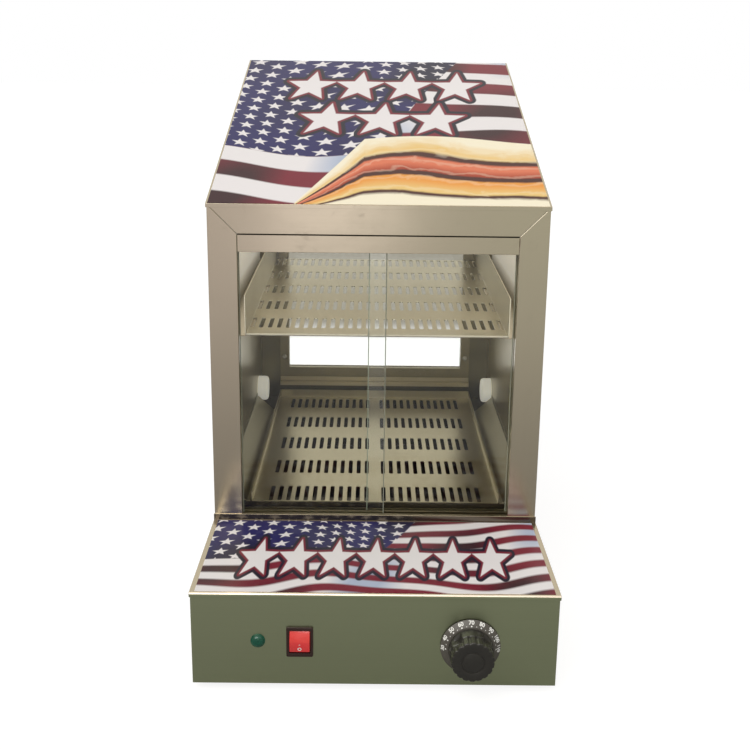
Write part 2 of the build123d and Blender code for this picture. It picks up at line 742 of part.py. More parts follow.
with BuildPart() as wall_caps:
    for hand in (-1, 1):
        cap_plane = Plane(
            origin=(hand * LINER_HALF, FRONT + INNER_BACK - CAP_BACK_GAP, CAP_CENTRE),
            z_dir=(-hand, 0, 0),
        )
        with BuildSketch(cap_plane):
            RegularPolygon(CAP_RADIUS, CAP_FLATS)
        extrude(amount=CAP_HEIGHT)
        ends = wall_caps.faces().filter_by(Axis.X).sort_by(Axis.X)
        chamfer((ends[-1] if hand < 0 else ends[0]).edges(), CAP_ROUNDING)
finish(wall_caps, "wall_caps")

# ---------------------------------------------------------------- heating element
element_back = PAN_BACK - ELEMENT_BACK_GAP
element_path = [
    (-1.5 * ELEMENT_PITCH, ELEMENT_TAIL), (-1.5 * ELEMENT_PITCH, element_back),
    (-0.5 * ELEMENT_PITCH, element_back), (-0.5 * ELEMENT_PITCH, ELEMENT_FRONT),
    (0.5 * ELEMENT_PITCH, ELEMENT_FRONT), (0.5 * ELEMENT_PITCH, element_back),
    (1.5 * ELEMENT_PITCH, element_back), (1.5 * ELEMENT_PITCH, ELEMENT_TAIL),
]
with BuildPart() as heating_element:
    with BuildLine(level(ELEMENT_Z)) as element_line:
        FilletPolyline(*element_path, radius=ELEMENT_BEND)
    with BuildSketch(Plane(element_line.line @ 0, z_dir=element_line.line % 0)):
        RegularPolygon(ELEMENT_RADIUS, ELEMENT_FLATS)
    sweep(path=element_line.line)
finish(heating_element, "heating_element")

NUT_THICK = 6.0
NUT_RADIUS = 9.0
with BuildPart() as element_nuts:
    with BuildSketch(upright(PAN_FRONT)):
        with Locations(*[(x, ELEMENT_Z) for x in terminals]):
            RegularPolygon(NUT_RADIUS, 6)
            turned(ELEMENT_RADIUS, mode=Mode.SUBTRACT)
    extrude(amount=NUT_THICK)
finish(element_nuts, "element_nuts")

# ---------------------------------------------------------------- thermostat
BRACKET = (40.0, 20.0, 1.6)
BRACKET_BACK = BOX_FRONT + SHEET + BRACKET[2]
THERMOSTAT_NECK = (10.0, 6.0)  # radius and length
THERMOSTAT_DEPTH = 24.0
THERMOSTAT_RADIUS = 18.0
SHAFT_SEAT = 6.0
SHAFT_PLAY = 0.08
with BuildPart() as thermostat_body:
    with BuildSketch(upright(BRACKET_BACK)):
        with Locations((KNOB_X, KNOB_Z)):
            Rectangle(BRACKET[0], BRACKET[1])
            with GridLocations(BRACKET_HOLE_PITCH, 1, 2, 1):
                turned(SCREW_RADIUS, mode=Mode.SUBTRACT)
    extrude(amount=BRACKET[2])
    with BuildSketch(upright(BRACKET_BACK)):
        with Locations((KNOB_X, KNOB_Z)):
            turned(THERMOSTAT_NECK[0])
    extrude(amount=-THERMOSTAT_NECK[1])
    with BuildSketch(upright(BRACKET_BACK + THERMOSTAT_NECK[1])):
        with Locations((KNOB_X, KNOB_Z)):
            turned(THERMOSTAT_RADIUS)
    extrude(amount=THERMOSTAT_NECK[1] - THERMOSTAT_DEPTH)
    with BuildSketch(upright(BRACKET_BACK + SHAFT_SEAT)):
        with Locations((KNOB_X, KNOB_Z)):
            turned(SHAFT_RADIUS + SHAFT_PLAY)
    extrude(amount=SHAFT_SEAT + BRACKET[2], mode=Mode.SUBTRACT)
finish(thermostat_body, "thermostat_body")

with BuildPart() as thermostat_screws:
    with BuildSketch(upright(BOX_FRONT)):
        with Locations((KNOB_X, KNOB_Z)):
            with GridLocations(BRACKET_HOLE_PITCH, 1, 2, 1):
                turned(SCREW_RADIUS + 1)
    extrude(amount=DIAL_GAP - PLAY)
    with BuildSketch(upright(BOX_FRONT)):
        with Locations((KNOB_X, KNOB_Z)):
            with GridLocations(BRACKET_HOLE_PITCH, 1, 2, 1):
                turned(SCREW_RADIUS)
    extrude(amount=-THERMOSTAT_NECK[1])
finish(thermostat_screws, "thermostat_screws")

BULB_FRONT = PAN_FRONT + 22
thermostat_back = BRACKET_BACK + THERMOSTAT_DEPTH
tail = (KNOB_X + 8, KNOB_Z - 6)
capillary_path = [
    (tail[0], FRONT + thermostat_back, tail[1]),
    (tail[0], FRONT + thermostat_back + 50, tail[1]),
    (BULB_X, FRONT + thermostat_back + 90, BULB_Z),
    (BULB_X, FRONT + BULB_FRONT, BULB_Z),
]
with BuildPart() as thermostat_bulb:
    with BuildLine() as capillary_line:
        FilletPolyline(*capillary_path, radius=CAPILLARY_BEND)
    with BuildSketch(Plane(capillary_line.line @ 0, z_dir=capillary_line.line % 0)):
        RegularPolygon(CAPILLARY_RADIUS, 6)
    sweep(path=capillary_line.line)
    with BuildSketch(upright(BULB_FRONT)):
        with Locations((BULB_X, BULB_Z)):
            turned(BULB_RADIUS)
    extrude(amount=-BULB_LENGTH)
finish(thermostat_bulb, "thermostat_bulb")

BLOCK = (48.0, 18.0, 16.0)
BLOCK_DEPTH = 70.0             # from the box's front
BLOCK_WELLS = (3, 2)
WELL_PITCH = (15.0, 9.0)
WELL = (5.0, 7.0)              # width and depth
with BuildPart() as terminal_block:
    block_place = (KNOB_X / 2, BOX_FRONT + BLOCK_DEPTH)
    with BuildSketch(level(BASE_FLOOR)):
        with Locations(block_place):
            Rectangle(BLOCK[0], BLOCK[1])
    extrude(amount=BLOCK[2])
    with BuildSketch(level(BASE_FLOOR + BLOCK[2])):
        with Locations(block_place):
            with GridLocations(*WELL_PITCH, *BLOCK_WELLS):
                RegularPolygon(WELL[0] / 2, 8)
    extrude(amount=-WELL[1], mode=Mode.SUBTRACT)
finish(terminal_block, "terminal_block")

# ---------------------------------------------------------------- knob
with BuildPart() as thermostat_shaft:
    shaft_back = BRACKET_BACK + SHAFT_SEAT - PLAY
    shaft_front = BOX_FRONT - DIAL_GAP - DIAL_THICK - GRIP_LENGTH / 2
    with BuildSketch(upright(shaft_back)):
        with Locations((KNOB_X, KNOB_Z)):
            Circle(SHAFT_RADIUS)
    extrude(amount=shaft_back - shaft_front)
    with BuildSketch(upright(shaft_front)):
        with Locations((KNOB_X, KNOB_Z + SHAFT_RADIUS)):
            Rectangle(3 * SHAFT_RADIUS, SHAFT_RADIUS)
    extrude(amount=-GRIP_LENGTH / 2, mode=Mode.SUBTRACT)
finish(thermostat_shaft, "thermostat_shaft")

dial_back = BOX_FRONT - DIAL_GAP
grip_back = dial_back - DIAL_THICK
grip_front = grip_back - GRIP_LENGTH
knob_axis = Axis((KNOB_X, 0, KNOB_Z), (0, 1, 0))
with BuildPart() as knob_dial:
    with BuildSketch(side(KNOB_X)):
        with BuildLine():
            Polyline(
                (dial_back, KNOB_Z + SHAFT_RADIUS + PLAY),
                (dial_back, KNOB_Z + DIAL_RADIUS),
                (grip_back, KNOB_Z + DIAL_TOP_RADIUS),
                (grip_back, KNOB_Z + SHAFT_RADIUS + PLAY),
                close=True,
            )
        make_face()
    revolve(axis=knob_axis)
finish(knob_dial, "knob_dial")

with BuildPart() as knob_grip:
    with BuildSketch(side(KNOB_X)):
        with BuildLine():
            Polyline(
                (grip_back, KNOB_Z),
                (grip_back, KNOB_Z + GRIP_RADIUS),
                (grip_front + FLUTE_LENGTH, KNOB_Z + GRIP_TIP_RADIUS - FLUTE_DEPTH),
                (grip_front + FLUTE_LENGTH, KNOB_Z),
                close=True,
            )
        make_face()
    revolve(axis=knob_axis)
    flute_outline = []
    for i in range(GRIP_FLUTES):
        for share, depth in ((0.0, FLUTE_DEPTH), (0.3, 0.0), (0.7, 0.0)):
            turn = 2 * pi * (i + share) / GRIP_FLUTES
            reach = GRIP_TIP_RADIUS - depth
            flute_outline.append((reach * cos(turn), reach * sin(turn)))
    with BuildSketch(upright(grip_front + FLUTE_LENGTH)):
        with Locations((KNOB_X, KNOB_Z)):
            Polygon(*flute_outline, align=None)
    extrude(amount=FLUTE_LENGTH)
    with BuildSketch(upright(grip_front + GRIP_LENGTH * 0.3)):
        with Locations((KNOB_X, KNOB_Z)):
            with PolarLocations(GRIP_RADIUS + SCOOP_RADIUS - SCOOP_DEPTH, SCOOPS, start_angle=45):
                RegularPolygon(SCOOP_RADIUS, SCOOP_FLATS)
    extrude(amount=-GRIP_LENGTH * 0.57, mode=Mode.SUBTRACT)
    with BuildSketch(upright(grip_front)):
        with Locations((KNOB_X, KNOB_Z)):
            RegularPolygon(GRIP_TIP_RADIUS * 0.56, RING_FLATS)
            RegularPolygon(GRIP_TIP_RADIUS * 0.47, RING_FLATS, mode=Mode.SUBTRACT)
    extrude(amount=-0.8, mode=Mode.SUBTRACT)
    with BuildSketch(upright(grip_back)):
        with Locations((KNOB_X, KNOB_Z)):
            turned(SHAFT_RADIUS)
    extrude(amount=GRIP_LENGTH / 2 + PLAY, mode=Mode.SUBTRACT)
finish(knob_grip, "knob_grip")

# ---------------------------------------------------------------- rocker switch
with BuildPart() as switch_housing:
    with BuildSketch(upright(BOX_FRONT)):
        with Locations((SWITCH_X, SWITCH_Z)):
            RectangleRounded(*SWITCH_BEZEL, 1.5)
    extrude(amount=SWITCH_RIM)
    with BuildSketch(upright(BOX_FRONT)):
        with Locations((SWITCH_X, SWITCH_Z)):
            Rectangle(*SWITCH_BODY)
    extrude(amount=-SWITCH_BODY_DEPTH)
    with BuildSketch(upright(BOX_FRONT - SWITCH_RIM)):
        with Locations((SWITCH_X, SWITCH_Z)):
            Rectangle(*SWITCH_WINDOW)
    extrude(amount=-(SWITCH_BODY_DEPTH * 0.6 + SWITCH_RIM), mode=Mode.SUBTRACT)
    with BuildSketch(side(SWITCH_X - SWITCH_BODY[0] / 2)):
        with Locations((BOX_FRONT + ROCKER_PIVOT, SWITCH_Z)):
            turned(PIN_RADIUS + PLAY)
    extrude(amount=SWITCH_BODY[0], mode=Mode.SUBTRACT)
    with BuildSketch(upright(BOX_FRONT + SWITCH_BODY_DEPTH)):
        with Locations((SWITCH_X, SWITCH_Z)):
            with GridLocations(*BLADE_PITCH, 2, 2):
                Rectangle(BLADE[0], BLADE[1])
    extrude(amount=-BLADE[2])
finish(switch_housing, "switch_housing")

rocker_pivot = (BOX_FRONT + ROCKER_PIVOT, SWITCH_Z)
with BuildPart() as rocker:
    tilt = radians(ROCKER_TILT)
    tilted = Plane(
        origin=(SWITCH_X - ROCKER_WIDTH / 2, FRONT + rocker_pivot[0], rocker_pivot[1]),
        x_dir=(0, cos(tilt), -sin(tilt)),
        z_dir=(1, 0, 0),
    )
    with BuildSketch(tilted):
        with BuildLine():
            Polyline(
                (-7.4, -ROCKER_HALF), (-10.4, 0), (-7.4, ROCKER_HALF),
                (0, ROCKER_HALF - 1.6), (4.2, 3), (4.2, -3), (0, -ROCKER_HALF + 1.6),
                close=True,
            )
        make_face()
    extrude(amount=ROCKER_WIDTH)
    with BuildSketch(side(SWITCH_X - SWITCH_BODY[0] / 2 + PLAY)):
        with Locations(rocker_pivot):
            RegularPolygon(PIN_RADIUS, TURNED_FLATS)
    extrude(amount=SWITCH_BODY[0] - 2 * PLAY)
finish(rocker, "rocker")

# ---------------------------------------------------------------- pilot lamp
with BuildPart() as pilot_lens:
    with BuildSketch(side(LAMP_X)):
        with BuildLine():
            Polyline(
                (BOX_FRONT, LAMP_Z),
                (BOX_FRONT, LAMP_Z + LAMP_RADIUS),
                (BOX_FRONT - LAMP_DOME * 0.3, LAMP_Z + LAMP_RADIUS),
                (BOX_FRONT - LAMP_DOME * 0.75, LAMP_Z + LAMP_RADIUS * 0.75),
                (BOX_FRONT - LAMP_DOME, LAMP_Z + LAMP_RADIUS * 0.35),
                (BOX_FRONT - LAMP_DOME, LAMP_Z),
                close=True,
            )
        make_face()
    revolve(axis=Axis((LAMP_X, 0, LAMP_Z), (0, 1, 0)))
finish(pilot_lens, "pilot_lens")

LAMP_NUT = (8.0, 4.0)          # radius over its corners, and length
with BuildPart() as pilot_body:
    with BuildSketch(upright(BOX_FRONT)):
        with Locations((LAMP_X, LAMP_Z)):
            turned(LAMP_NECK)
    extrude(amount=-LAMP_BODY_LENGTH)
    with BuildSketch(upright(BOX_FRONT + SHEET)):
        with Locations((LAMP_X, LAMP_Z)):
            RegularPolygon(LAMP_NUT[0], 6)
    extrude(amount=-LAMP_NUT[1])
finish(pilot_body, "pilot_body")

# ---------------------------------------------------------------- cord gland, no cord
GLAND_INSIDE = 6.0
GLAND_OUTSIDE = 16.0
GLAND_NUT = 5.0
LOCK_NUT = 4.0
with BuildPart() as cord_gland:
    gland_front = BACK_FACE - GLAND_INSIDE
    gland_back = CABINET_DEPTH + GLAND_OUTSIDE
    with BuildSketch(upright(gland_back)):
        with Locations((GLAND_X, GLAND_Z)):
            turned(GLAND_NECK)
    extrude(amount=gland_back - gland_front)
    with BuildSketch(upright(CABINET_DEPTH)):
        with Locations((GLAND_X, GLAND_Z)):
            RegularPolygon(GLAND_HEX, 6)
    extrude(amount=-GLAND_NUT)
    with BuildSketch(upright(BACK_FACE)):
        with Locations((GLAND_X, GLAND_Z)):
            RegularPolygon(GLAND_HEX, 6)
    extrude(amount=LOCK_NUT)
    with BuildSketch(upright(gland_back)):
        with Locations((GLAND_X, GLAND_Z)):
            Circle(CORD_RADIUS)
    extrude(amount=gland_back - gland_front, mode=Mode.SUBTRACT)
finish(cord_gland, "cord_gland")

# ---------------------------------------------------------------- drain
PIPE_BACK = CABINET_DEPTH + 8.0
VALVE_BACK = CABINET_DEPTH + DRAIN_REACH
PIPE_FLANGE = (9.5, 2.0)       # radius and thickness
with BuildPart() as drain_pipe:
    with BuildSketch(upright(PAN_BACK + PIPE_FLANGE[1])):
        with Locations((DRAIN_X, DRAIN_Z)):
            turned(PIPE_FLANGE[0])
    extrude(amount=PIPE_FLANGE[1])
    with BuildSketch(upright(PIPE_BACK)):
        with Locations((DRAIN_X, DRAIN_Z)):
            turned(DRAIN_RADIUS)
    extrude(amount=PIPE_BACK - PAN_BACK)
    with BuildSketch(upright(PIPE_BACK)):
        with Locations((DRAIN_X, DRAIN_Z)):
            turned(DRAIN_BORE)
    extrude(amount=PIPE_BACK - PAN_BACK, mode=Mode.SUBTRACT)
finish(drain_pipe, "drain_pipe")

STEM_RADIUS = 2.4
STEM_PLAY = 0.1
STEM_SEAT = 7.0                # socket's floor above the drain's axis
COLLAR_RADIUS = 5.0
COLLAR_TOP = 13.0
LEVER_THICK = 2.4
LEVER_WIDTH = 8.0
stem_depth = (PIPE_BACK + VALVE_BACK) / 2 - 3
spout_front = VALVE_BACK - SPOUT_LENGTH
with BuildPart() as drain_valve:
    with BuildSketch(upright(spout_front)):
        with Locations((DRAIN_X, DRAIN_Z)):
            RegularPolygon(DRAIN_RADIUS + 4, 8)
    extrude(amount=spout_front - PIPE_BACK)
    with BuildSketch(upright(VALVE_BACK)):
        with Locations((DRAIN_X, DRAIN_Z)):
            Circle(DRAIN_RADIUS)
    extrude(amount=SPOUT_LENGTH)
    with BuildSketch(level(DRAIN_Z)):
        with Locations((DRAIN_X, stem_depth)):
            turned(COLLAR_RADIUS)
    extrude(amount=COLLAR_TOP)
    with BuildSketch(level(DRAIN_Z + COLLAR_TOP)):
        with Locations((DRAIN_X, stem_depth)):
            turned(STEM_RADIUS + STEM_PLAY)
    extrude(amount=STEM_SEAT - COLLAR_TOP, mode=Mode.SUBTRACT)
    with BuildSketch(upright(VALVE_BACK)):
        with Locations((DRAIN_X, DRAIN_Z)):
            turned(DRAIN_BORE)
    extrude(amount=VALVE_BACK - stem_depth - DRAIN_RADIUS, mode=Mode.SUBTRACT)
finish(drain_valve, "drain_valve")

with BuildPart() as drain_lever:
    stem_bottom = DRAIN_Z + STEM_SEAT + PLAY
    lever_bottom = DRAIN_Z + COLLAR_TOP + PLAY
    with BuildSketch(level(stem_bottom)):
        with Locations((DRAIN_X, stem_depth)):
            RegularPolygon(STEM_RADIUS, TURNED_FLATS)
    extrude(amount=lever_bottom + LEVER_THICK + 1 - stem_bottom)
    with BuildSketch(level(lever_bottom)):
        with Locations((DRAIN_X, stem_depth)):
            turned(COLLAR_RADIUS)
        patch(
            DRAIN_X - LEVER_LENGTH, DRAIN_X,
            stem_depth - LEVER_WIDTH / 2, stem_depth + LEVER_WIDTH / 2,
        )
    extrude(amount=LEVER_THICK)
    chamfer(drain_lever.edges().filter_by(Axis.Z).sort_by(Axis.X)[:2], LEVER_WIDTH / 4)
finish(drain_lever, "drain_lever")

# ---------------------------------------------------------------- shelf and its rails
slope = radians(SHELF_SLOPE)
shelf_origin = (0, FRONT + SHELF_FRONT, SHELF_FRONT_HEIGHT)
shelf_plane = Plane(origin=shelf_origin, x_dir=(1, 0, 0), z_dir=(0, -sin(slope), cos(slope)))
shelf_section = Plane(
    origin=shelf_origin, x_dir=(1, 0, 0), z_dir=(0, -cos(slope), -sin(slope))
)
shelf_side_slots = int((SHELF_HALF - SHEET - SLOT_WIDTH / 2) // SHELF_SLOT_PITCH)
shelf_columns = range(-shelf_side_slots, shelf_side_slots + 1)
with BuildPart() as shelf:
    with BuildSketch(shelf_plane):
        patch(-SHELF_HALF, SHELF_HALF, 0, SHELF_LENGTH)
        cut_slots(
            shelf_columns, SHELF_SLOT_PITCH,
            SHELF_FIRST_ROW, SHELF_LENGTH, SHELF_ROW_PITCH, SHELF_SLOT_LENGTH,
        )
    extrude(amount=SHEET)
    with BuildSketch(shelf_section):
        for x0 in (-SHELF_HALF, SHELF_HALF - SHEET):
            patch(x0, x0 + SHEET, 0, SHELF_FLANGE)
    extrude(amount=-SHELF_LENGTH)
    with BuildSketch(shelf_plane):
        patch(-SHELF_HALF, SHELF_HALF, 0, SHEET)
    extrude(amount=SHELF_HEM)
finish(shelf, "shelf")

rail_inner = SHELF_HALF - RAIL_REACH
rail_section = shelf_section.offset(-RAIL_SETBACK)
with BuildPart() as shelf_rail_left:
    with BuildSketch(rail_section):
        bent_sheet(
            (-rail_inner, -PLAY),
            (-LINER_HALF, -PLAY),
            (-LINER_HALF, -RAIL_LEG),
            hand=Side.LEFT,
        )
    extrude(amount=-(SHELF_LENGTH - 2 * RAIL_SETBACK))
finish(shelf_rail_left, "shelf_rail_left")

with BuildPart() as shelf_rail_right:
    mirror(shelf_rail_left.part, about=Plane.YZ)
finish(shelf_rail_right, "shelf_rail_right")

# ---------------------------------------------------------------- tray over the water
tray_side_slots = int((TRAY_HALF - TRAY_BORDER) // TRAY_SLOT_PITCH)
tray_columns = [hand * (i + 1) for hand in (-1, 1) for i in range(tray_side_slots)]
with BuildPart() as tray:
    with BuildSketch(level(TRAY_FLOOR)):
        patch(-TRAY_HALF, TRAY_HALF, TRAY_FRONT, TRAY_BACK)
        cut_slots(
            tray_columns, TRAY_SLOT_PITCH,
            TRAY_FRONT + TRAY_FIRST_ROW, TRAY_BACK, TRAY_ROW_PITCH, TRAY_SLOT_LENGTH,
        )
    extrude(amount=SHEET)
    with BuildSketch(upright(TRAY_FRONT)):
        for hand in (-1, 1):
            outer = hand * TRAY_HALF
            inner = outer - hand * SHEET
            hem = outer - hand * TRAY_HEM
            patch(min(outer, inner), max(outer, inner), TRAY_FLOOR, TRAY_FLOOR + TRAY_RIM)
            patch(
                min(outer, hem), max(outer, hem),
                TRAY_FLOOR + TRAY_RIM, TRAY_FLOOR + TRAY_RIM + SHEET,
            )
    extrude(amount=-(TRAY_BACK - TRAY_FRONT))
    with BuildSketch(upright(TRAY_BACK)):
        patch(-TRAY_HALF, TRAY_HALF, TRAY_FLOOR, TRAY_FLOOR + TRAY_RIM + SHEET)
    extrude(amount=SHEET)
finish(tray, "tray")

# ---------------------------------------------------------------- casing screws
CASE_SCREW_RADIUS = 4.0
CASE_SCREW_HEAD = 1.6
CASE_SCREW_INSET = 25.0
with BuildPart() as casing_screws:
    for hand in (-1, 1):
        screw_plane = Plane(
            origin=(hand * HALF, FRONT, 0), x_dir=(0, hand, 0), z_dir=(hand, 0, 0)
        )
        with BuildSketch(screw_plane):
            for run in (
                BOX_FRONT + CASE_SCREW_INSET, CABINET_DEPTH / 4, CABINET_DEPTH - CASE_SCREW_INSET
            ):
                with Locations((hand * run, FOOT_HEIGHT + BASE_FLANGE / 2)):
                    RegularPolygon(CASE_SCREW_RADIUS, SCREW_FLATS)
        extrude(amount=CASE_SCREW_HEAD, taper=25)
    back_plane = Plane(origin=(0, FRONT + CABINET_DEPTH, 0), x_dir=(-1, 0, 0), z_dir=(0, 1, 0))
    with BuildSketch(back_plane):
        for height in (FOOT_HEIGHT + BASE_FLANGE / 2, BACK_HEIGHT - CASE_SCREW_INSET):
            with Locations((0, height)):
                with GridLocations(HALF - CASE_SCREW_INSET / 2, 1, 3, 1):
                    RegularPolygon(CASE_SCREW_RADIUS, SCREW_FLATS)
    extrude(amount=CASE_SCREW_HEAD, taper=25)
finish(casing_screws, "casing_screws")
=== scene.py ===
"""Dresses the countertop hot dog steamer for its picture.

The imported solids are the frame. Sheet pieces are copied with softly rounded edges, the small
round pieces are modelled finer, and every surface gets its own finish. Metres, with +X to the
right, +Y to the back and +Z up from the counter.
"""

import json
from functools import partialmethod
from math import atan2, cos, hypot, pi, radians, sin

import bpy
from mathutils import Matrix, Vector

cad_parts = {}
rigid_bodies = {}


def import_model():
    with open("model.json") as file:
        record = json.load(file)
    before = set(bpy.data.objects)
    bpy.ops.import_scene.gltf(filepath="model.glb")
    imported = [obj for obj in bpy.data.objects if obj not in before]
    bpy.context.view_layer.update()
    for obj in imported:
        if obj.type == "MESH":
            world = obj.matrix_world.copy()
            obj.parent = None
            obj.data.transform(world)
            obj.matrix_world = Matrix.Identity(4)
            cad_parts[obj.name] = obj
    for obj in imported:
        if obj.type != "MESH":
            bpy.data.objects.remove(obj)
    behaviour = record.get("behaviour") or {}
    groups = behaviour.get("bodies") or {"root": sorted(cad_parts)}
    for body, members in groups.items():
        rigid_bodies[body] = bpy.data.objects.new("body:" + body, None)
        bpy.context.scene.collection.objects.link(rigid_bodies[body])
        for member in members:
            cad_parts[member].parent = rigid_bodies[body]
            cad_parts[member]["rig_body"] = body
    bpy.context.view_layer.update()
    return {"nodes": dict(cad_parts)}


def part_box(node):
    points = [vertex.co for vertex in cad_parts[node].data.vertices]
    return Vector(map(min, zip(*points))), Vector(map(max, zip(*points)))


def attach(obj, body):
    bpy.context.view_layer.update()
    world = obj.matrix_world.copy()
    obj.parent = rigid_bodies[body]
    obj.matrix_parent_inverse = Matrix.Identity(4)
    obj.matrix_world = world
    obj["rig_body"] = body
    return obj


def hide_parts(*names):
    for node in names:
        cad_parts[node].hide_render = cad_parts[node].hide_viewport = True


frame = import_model()
nodes = frame["nodes"]
body_of = {node: obj["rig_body"] for node, obj in nodes.items()}

MM = 0.001


def colour(red, green, blue):
    """A screen colour, 0 to 255, as the linear colour that a shader takes."""
    linear = [(c / 255 / 12.92) if c <= 10 else ((c / 255 + 0.055) / 1.055) ** 2.4
              for c in (red, green, blue)]
    return (*linear, 1.0)


# ---------------------------------------------------------------- shader building blocks
def feed(tree, entry, value):
    """Gives an input its value: a number, a colour, a socket or a Field."""
    if isinstance(value, Field):
        value = value.socket
    if isinstance(value, bpy.types.NodeSocket):
        tree.links.new(value, entry)
    else:
        entry.default_value = value


def add_node(tree, kind, inputs=None, **settings):
    """Adds a node. Its inputs are given by name or by number."""
    node = tree.nodes.new(kind)
    for name, value in settings.items():
        setattr(node, name, value)
    for key, value in (inputs or {}).items():
        feed(tree, node.inputs[key], value)
    return node


def connect(tree, node, **values):
    """Feeds a node's inputs by their names, with _ in place of a space."""
    for label, value in values.items():
        feed(tree, node.inputs[label.replace("_", " ")], value)


class Field:
    """A number that changes over the surface, so that patterns read as formulas."""

    def __init__(self, tree, socket):
        self.tree = tree
        self.socket = socket

    def math(self, operation, *others):
        values = dict(enumerate((self, *others)))
        node = add_node(self.tree, "ShaderNodeMath", values, operation=operation)
        return Field(self.tree, node.outputs[0])

    __add__ = partialmethod(math, "ADD")
    __sub__ = partialmethod(math, "SUBTRACT")
    __mul__ = partialmethod(math, "MULTIPLY")
    __truediv__ = partialmethod(math, "DIVIDE")
    sine = partialmethod(math, "SINE")
    cosine = partialmethod(math, "COSINE")
    size = partialmethod(math, "ABSOLUTE")
    floor = partialmethod(math, "FLOOR")
    fraction = partialmethod(math, "FRACT")
    root = partialmethod(math, "SQRT")
    least = partialmethod(math, "MINIMUM")
    most = partialmethod(math, "MAXIMUM")

    def above(self, limit, soft):
        """0 below a limit and 1 above it, with a soft step that wide."""
        node = add_node(
            self.tree, "ShaderNodeMapRange",
            {"Value": self, "From Min": limit - soft, "From Max": limit + soft}, clamp=True,
        )
        return Field(self.tree, node.outputs["Result"])

    def inverse(self):
        """1 where the field is 0, and 0 where it is 1."""
        node = add_node(self.tree, "ShaderNodeMath", {0: 1.0, 1: self}, operation="SUBTRACT")
        return Field(self.tree, node.outputs[0])


def place(tree):
    """The point on the surface, as three fields in metres."""
    coordinate = add_node(tree, "ShaderNodeTexCoord")
    split = add_node(tree, "ShaderNodeSeparateXYZ", {0: coordinate.outputs["Object"]})
    return [Field(tree, split.outputs[axis]) for axis in "XYZ"]


def height_at(tree):
    """How high the point on the surface lies in the frame, in metres."""
    return place(tree)[2]


def stretched(tree, scale=(1.0, 1.0, 1.0)):
    """The point on the surface, scaled by axis, as a vector socket."""
    coordinate = add_node(tree, "ShaderNodeTexCoord")
    mapping = add_node(
        tree, "ShaderNodeMapping", {"Vector": coordinate.outputs["Object"], "Scale": scale}
    )
    return mapping.outputs["Vector"]


def noise(tree, vector, scale, detail=3.0, roughness=0.5, distortion=0.0):
    node = add_node(
        tree, "ShaderNodeTexNoise",
        {"Vector": vector, "Scale": scale, "Detail": detail, "Roughness": roughness,
         "Distortion": distortion},
    )
    return Field(tree, node.outputs["Fac"])


def blend_colours(tree, mask, first, second, how="MIX"):
    """The first colour where a mask is 0, and the second where it is 1."""
    inputs = {0: mask, 6: first, 7: second}
    node = add_node(tree, "ShaderNodeMix", inputs, data_type="RGBA", blend_type=how)
    return node.outputs[2]


def new_group(name, inputs, outputs):
    """A shader node group with named sockets, and the nodes that stand for them."""
    group = bpy.data.node_groups.new(name, "ShaderNodeTree")
    for label, kind, value in inputs:
        socket = group.interface.new_socket(label, in_out="INPUT", socket_type=kind)
        if value is not None:
            socket.default_value = value
    for label, kind in outputs:
        group.interface.new_socket(label, in_out="OUTPUT", socket_type=kind)
    entry = group.nodes.new("NodeGroupInput")
    leave = group.nodes.new("NodeGroupOutput")
    return group, entry.outputs, leave.inputs


def use_group(tree, group, **values):
    node = tree.nodes.new("ShaderNodeGroup")
    node.node_tree = group
    connect(tree, node, **values)
    return node.outputs


FLOAT = "NodeSocketFloat"
VECTOR = "NodeSocketVector"


def make_brushed_grain():
    """Fine parallel scratches: a height, a roughness and a tone, from a stretched point."""
    group, given, result = new_group(
        "brushed_grain",
        [("Stretched", VECTOR, None), ("Roughness", FLOAT, 0.25), ("Spread", FLOAT, 0.08)],
        [("Height", FLOAT), ("Roughness", FLOAT), ("Tone", FLOAT)],
    )
    fine = noise(group, given["Stretched"], 1.0, detail=4.0, roughness=0.65)
    broad = noise(group, given["Stretched"], 0.13, detail=2.0)
    spread = Field(group, given["Spread"])
    rough = (fine - 0.5) * spread + (broad - 0.5) * spread + Field(group, given["Roughness"])
    tone = (fine * 0.85 + broad * 0.15 - 0.5) * 0.12 + 1.0
    for label, field in (("Height", fine), ("Roughness", rough), ("Tone", tone)):
        feed(group, result[label], field)
    return group


def make_handling():
    """Cloudy wiping haze and finger marks: a mask from 0 to 1."""
    group, given, result = new_group(
        "handling_marks",
        [("Point", VECTOR, None), ("Amount", FLOAT, 1.0)],
        [("Mask", FLOAT)],
    )
    cloud = noise(group, given["Point"], 9.0, detail=5.0, roughness=0.6, distortion=0.6)
    spots = noise(group, given["Point"], 55.0, detail=2.0, roughness=0.5, distortion=1.2)
    mask = cloud.above(0.62, 0.16) * 0.7 + spots.above(0.68, 0.07) * 0.5
    mask = (mask * Field(group, given["Amount"])).least(1.0)
    feed(group, result["Mask"], mask)
    return group


def make_star():
    """A five-pointed star: the distance outside its outline, below zero within it."""
    group, given, result = new_group(
        "star_outline",
        [("Across", FLOAT, 0.0), ("Up", FLOAT, 0.0), ("Radius", FLOAT, 1.0)],
        [("Distance", FLOAT)],
    )
    across, up, radius = (Field(group, given[label]) for label in ("Across", "Up", "Radius"))
    point = 2 * pi / 5   # the angle from one tip to the next
    waist = 0.42         # how far out the valleys lie, as a share of the tips
    turn = across.math("ARCTAN2", up)
    folded = (turn - (turn / point + 0.5).floor() * point).size()
    reach = (across * across + up * up).root()
    along = reach * folded.cosine()
    off = reach * folded.sine()
    run, rise = 1 - waist * cos(point / 2), waist * sin(point / 2)
    length = hypot(run, rise)
    beyond_tip = along - radius
    side = beyond_tip * (rise / length) + off * (run / length)
    travelled = off * (rise / length) - beyond_tip * (run / length)
    at_tip = travelled.above(0.0, 0.00001).inverse()
    tip = (beyond_tip * beyond_tip + off * off).root()
    distance = side + (tip - side) * at_tip
    feed(group, result["Distance"], distance)
    return group


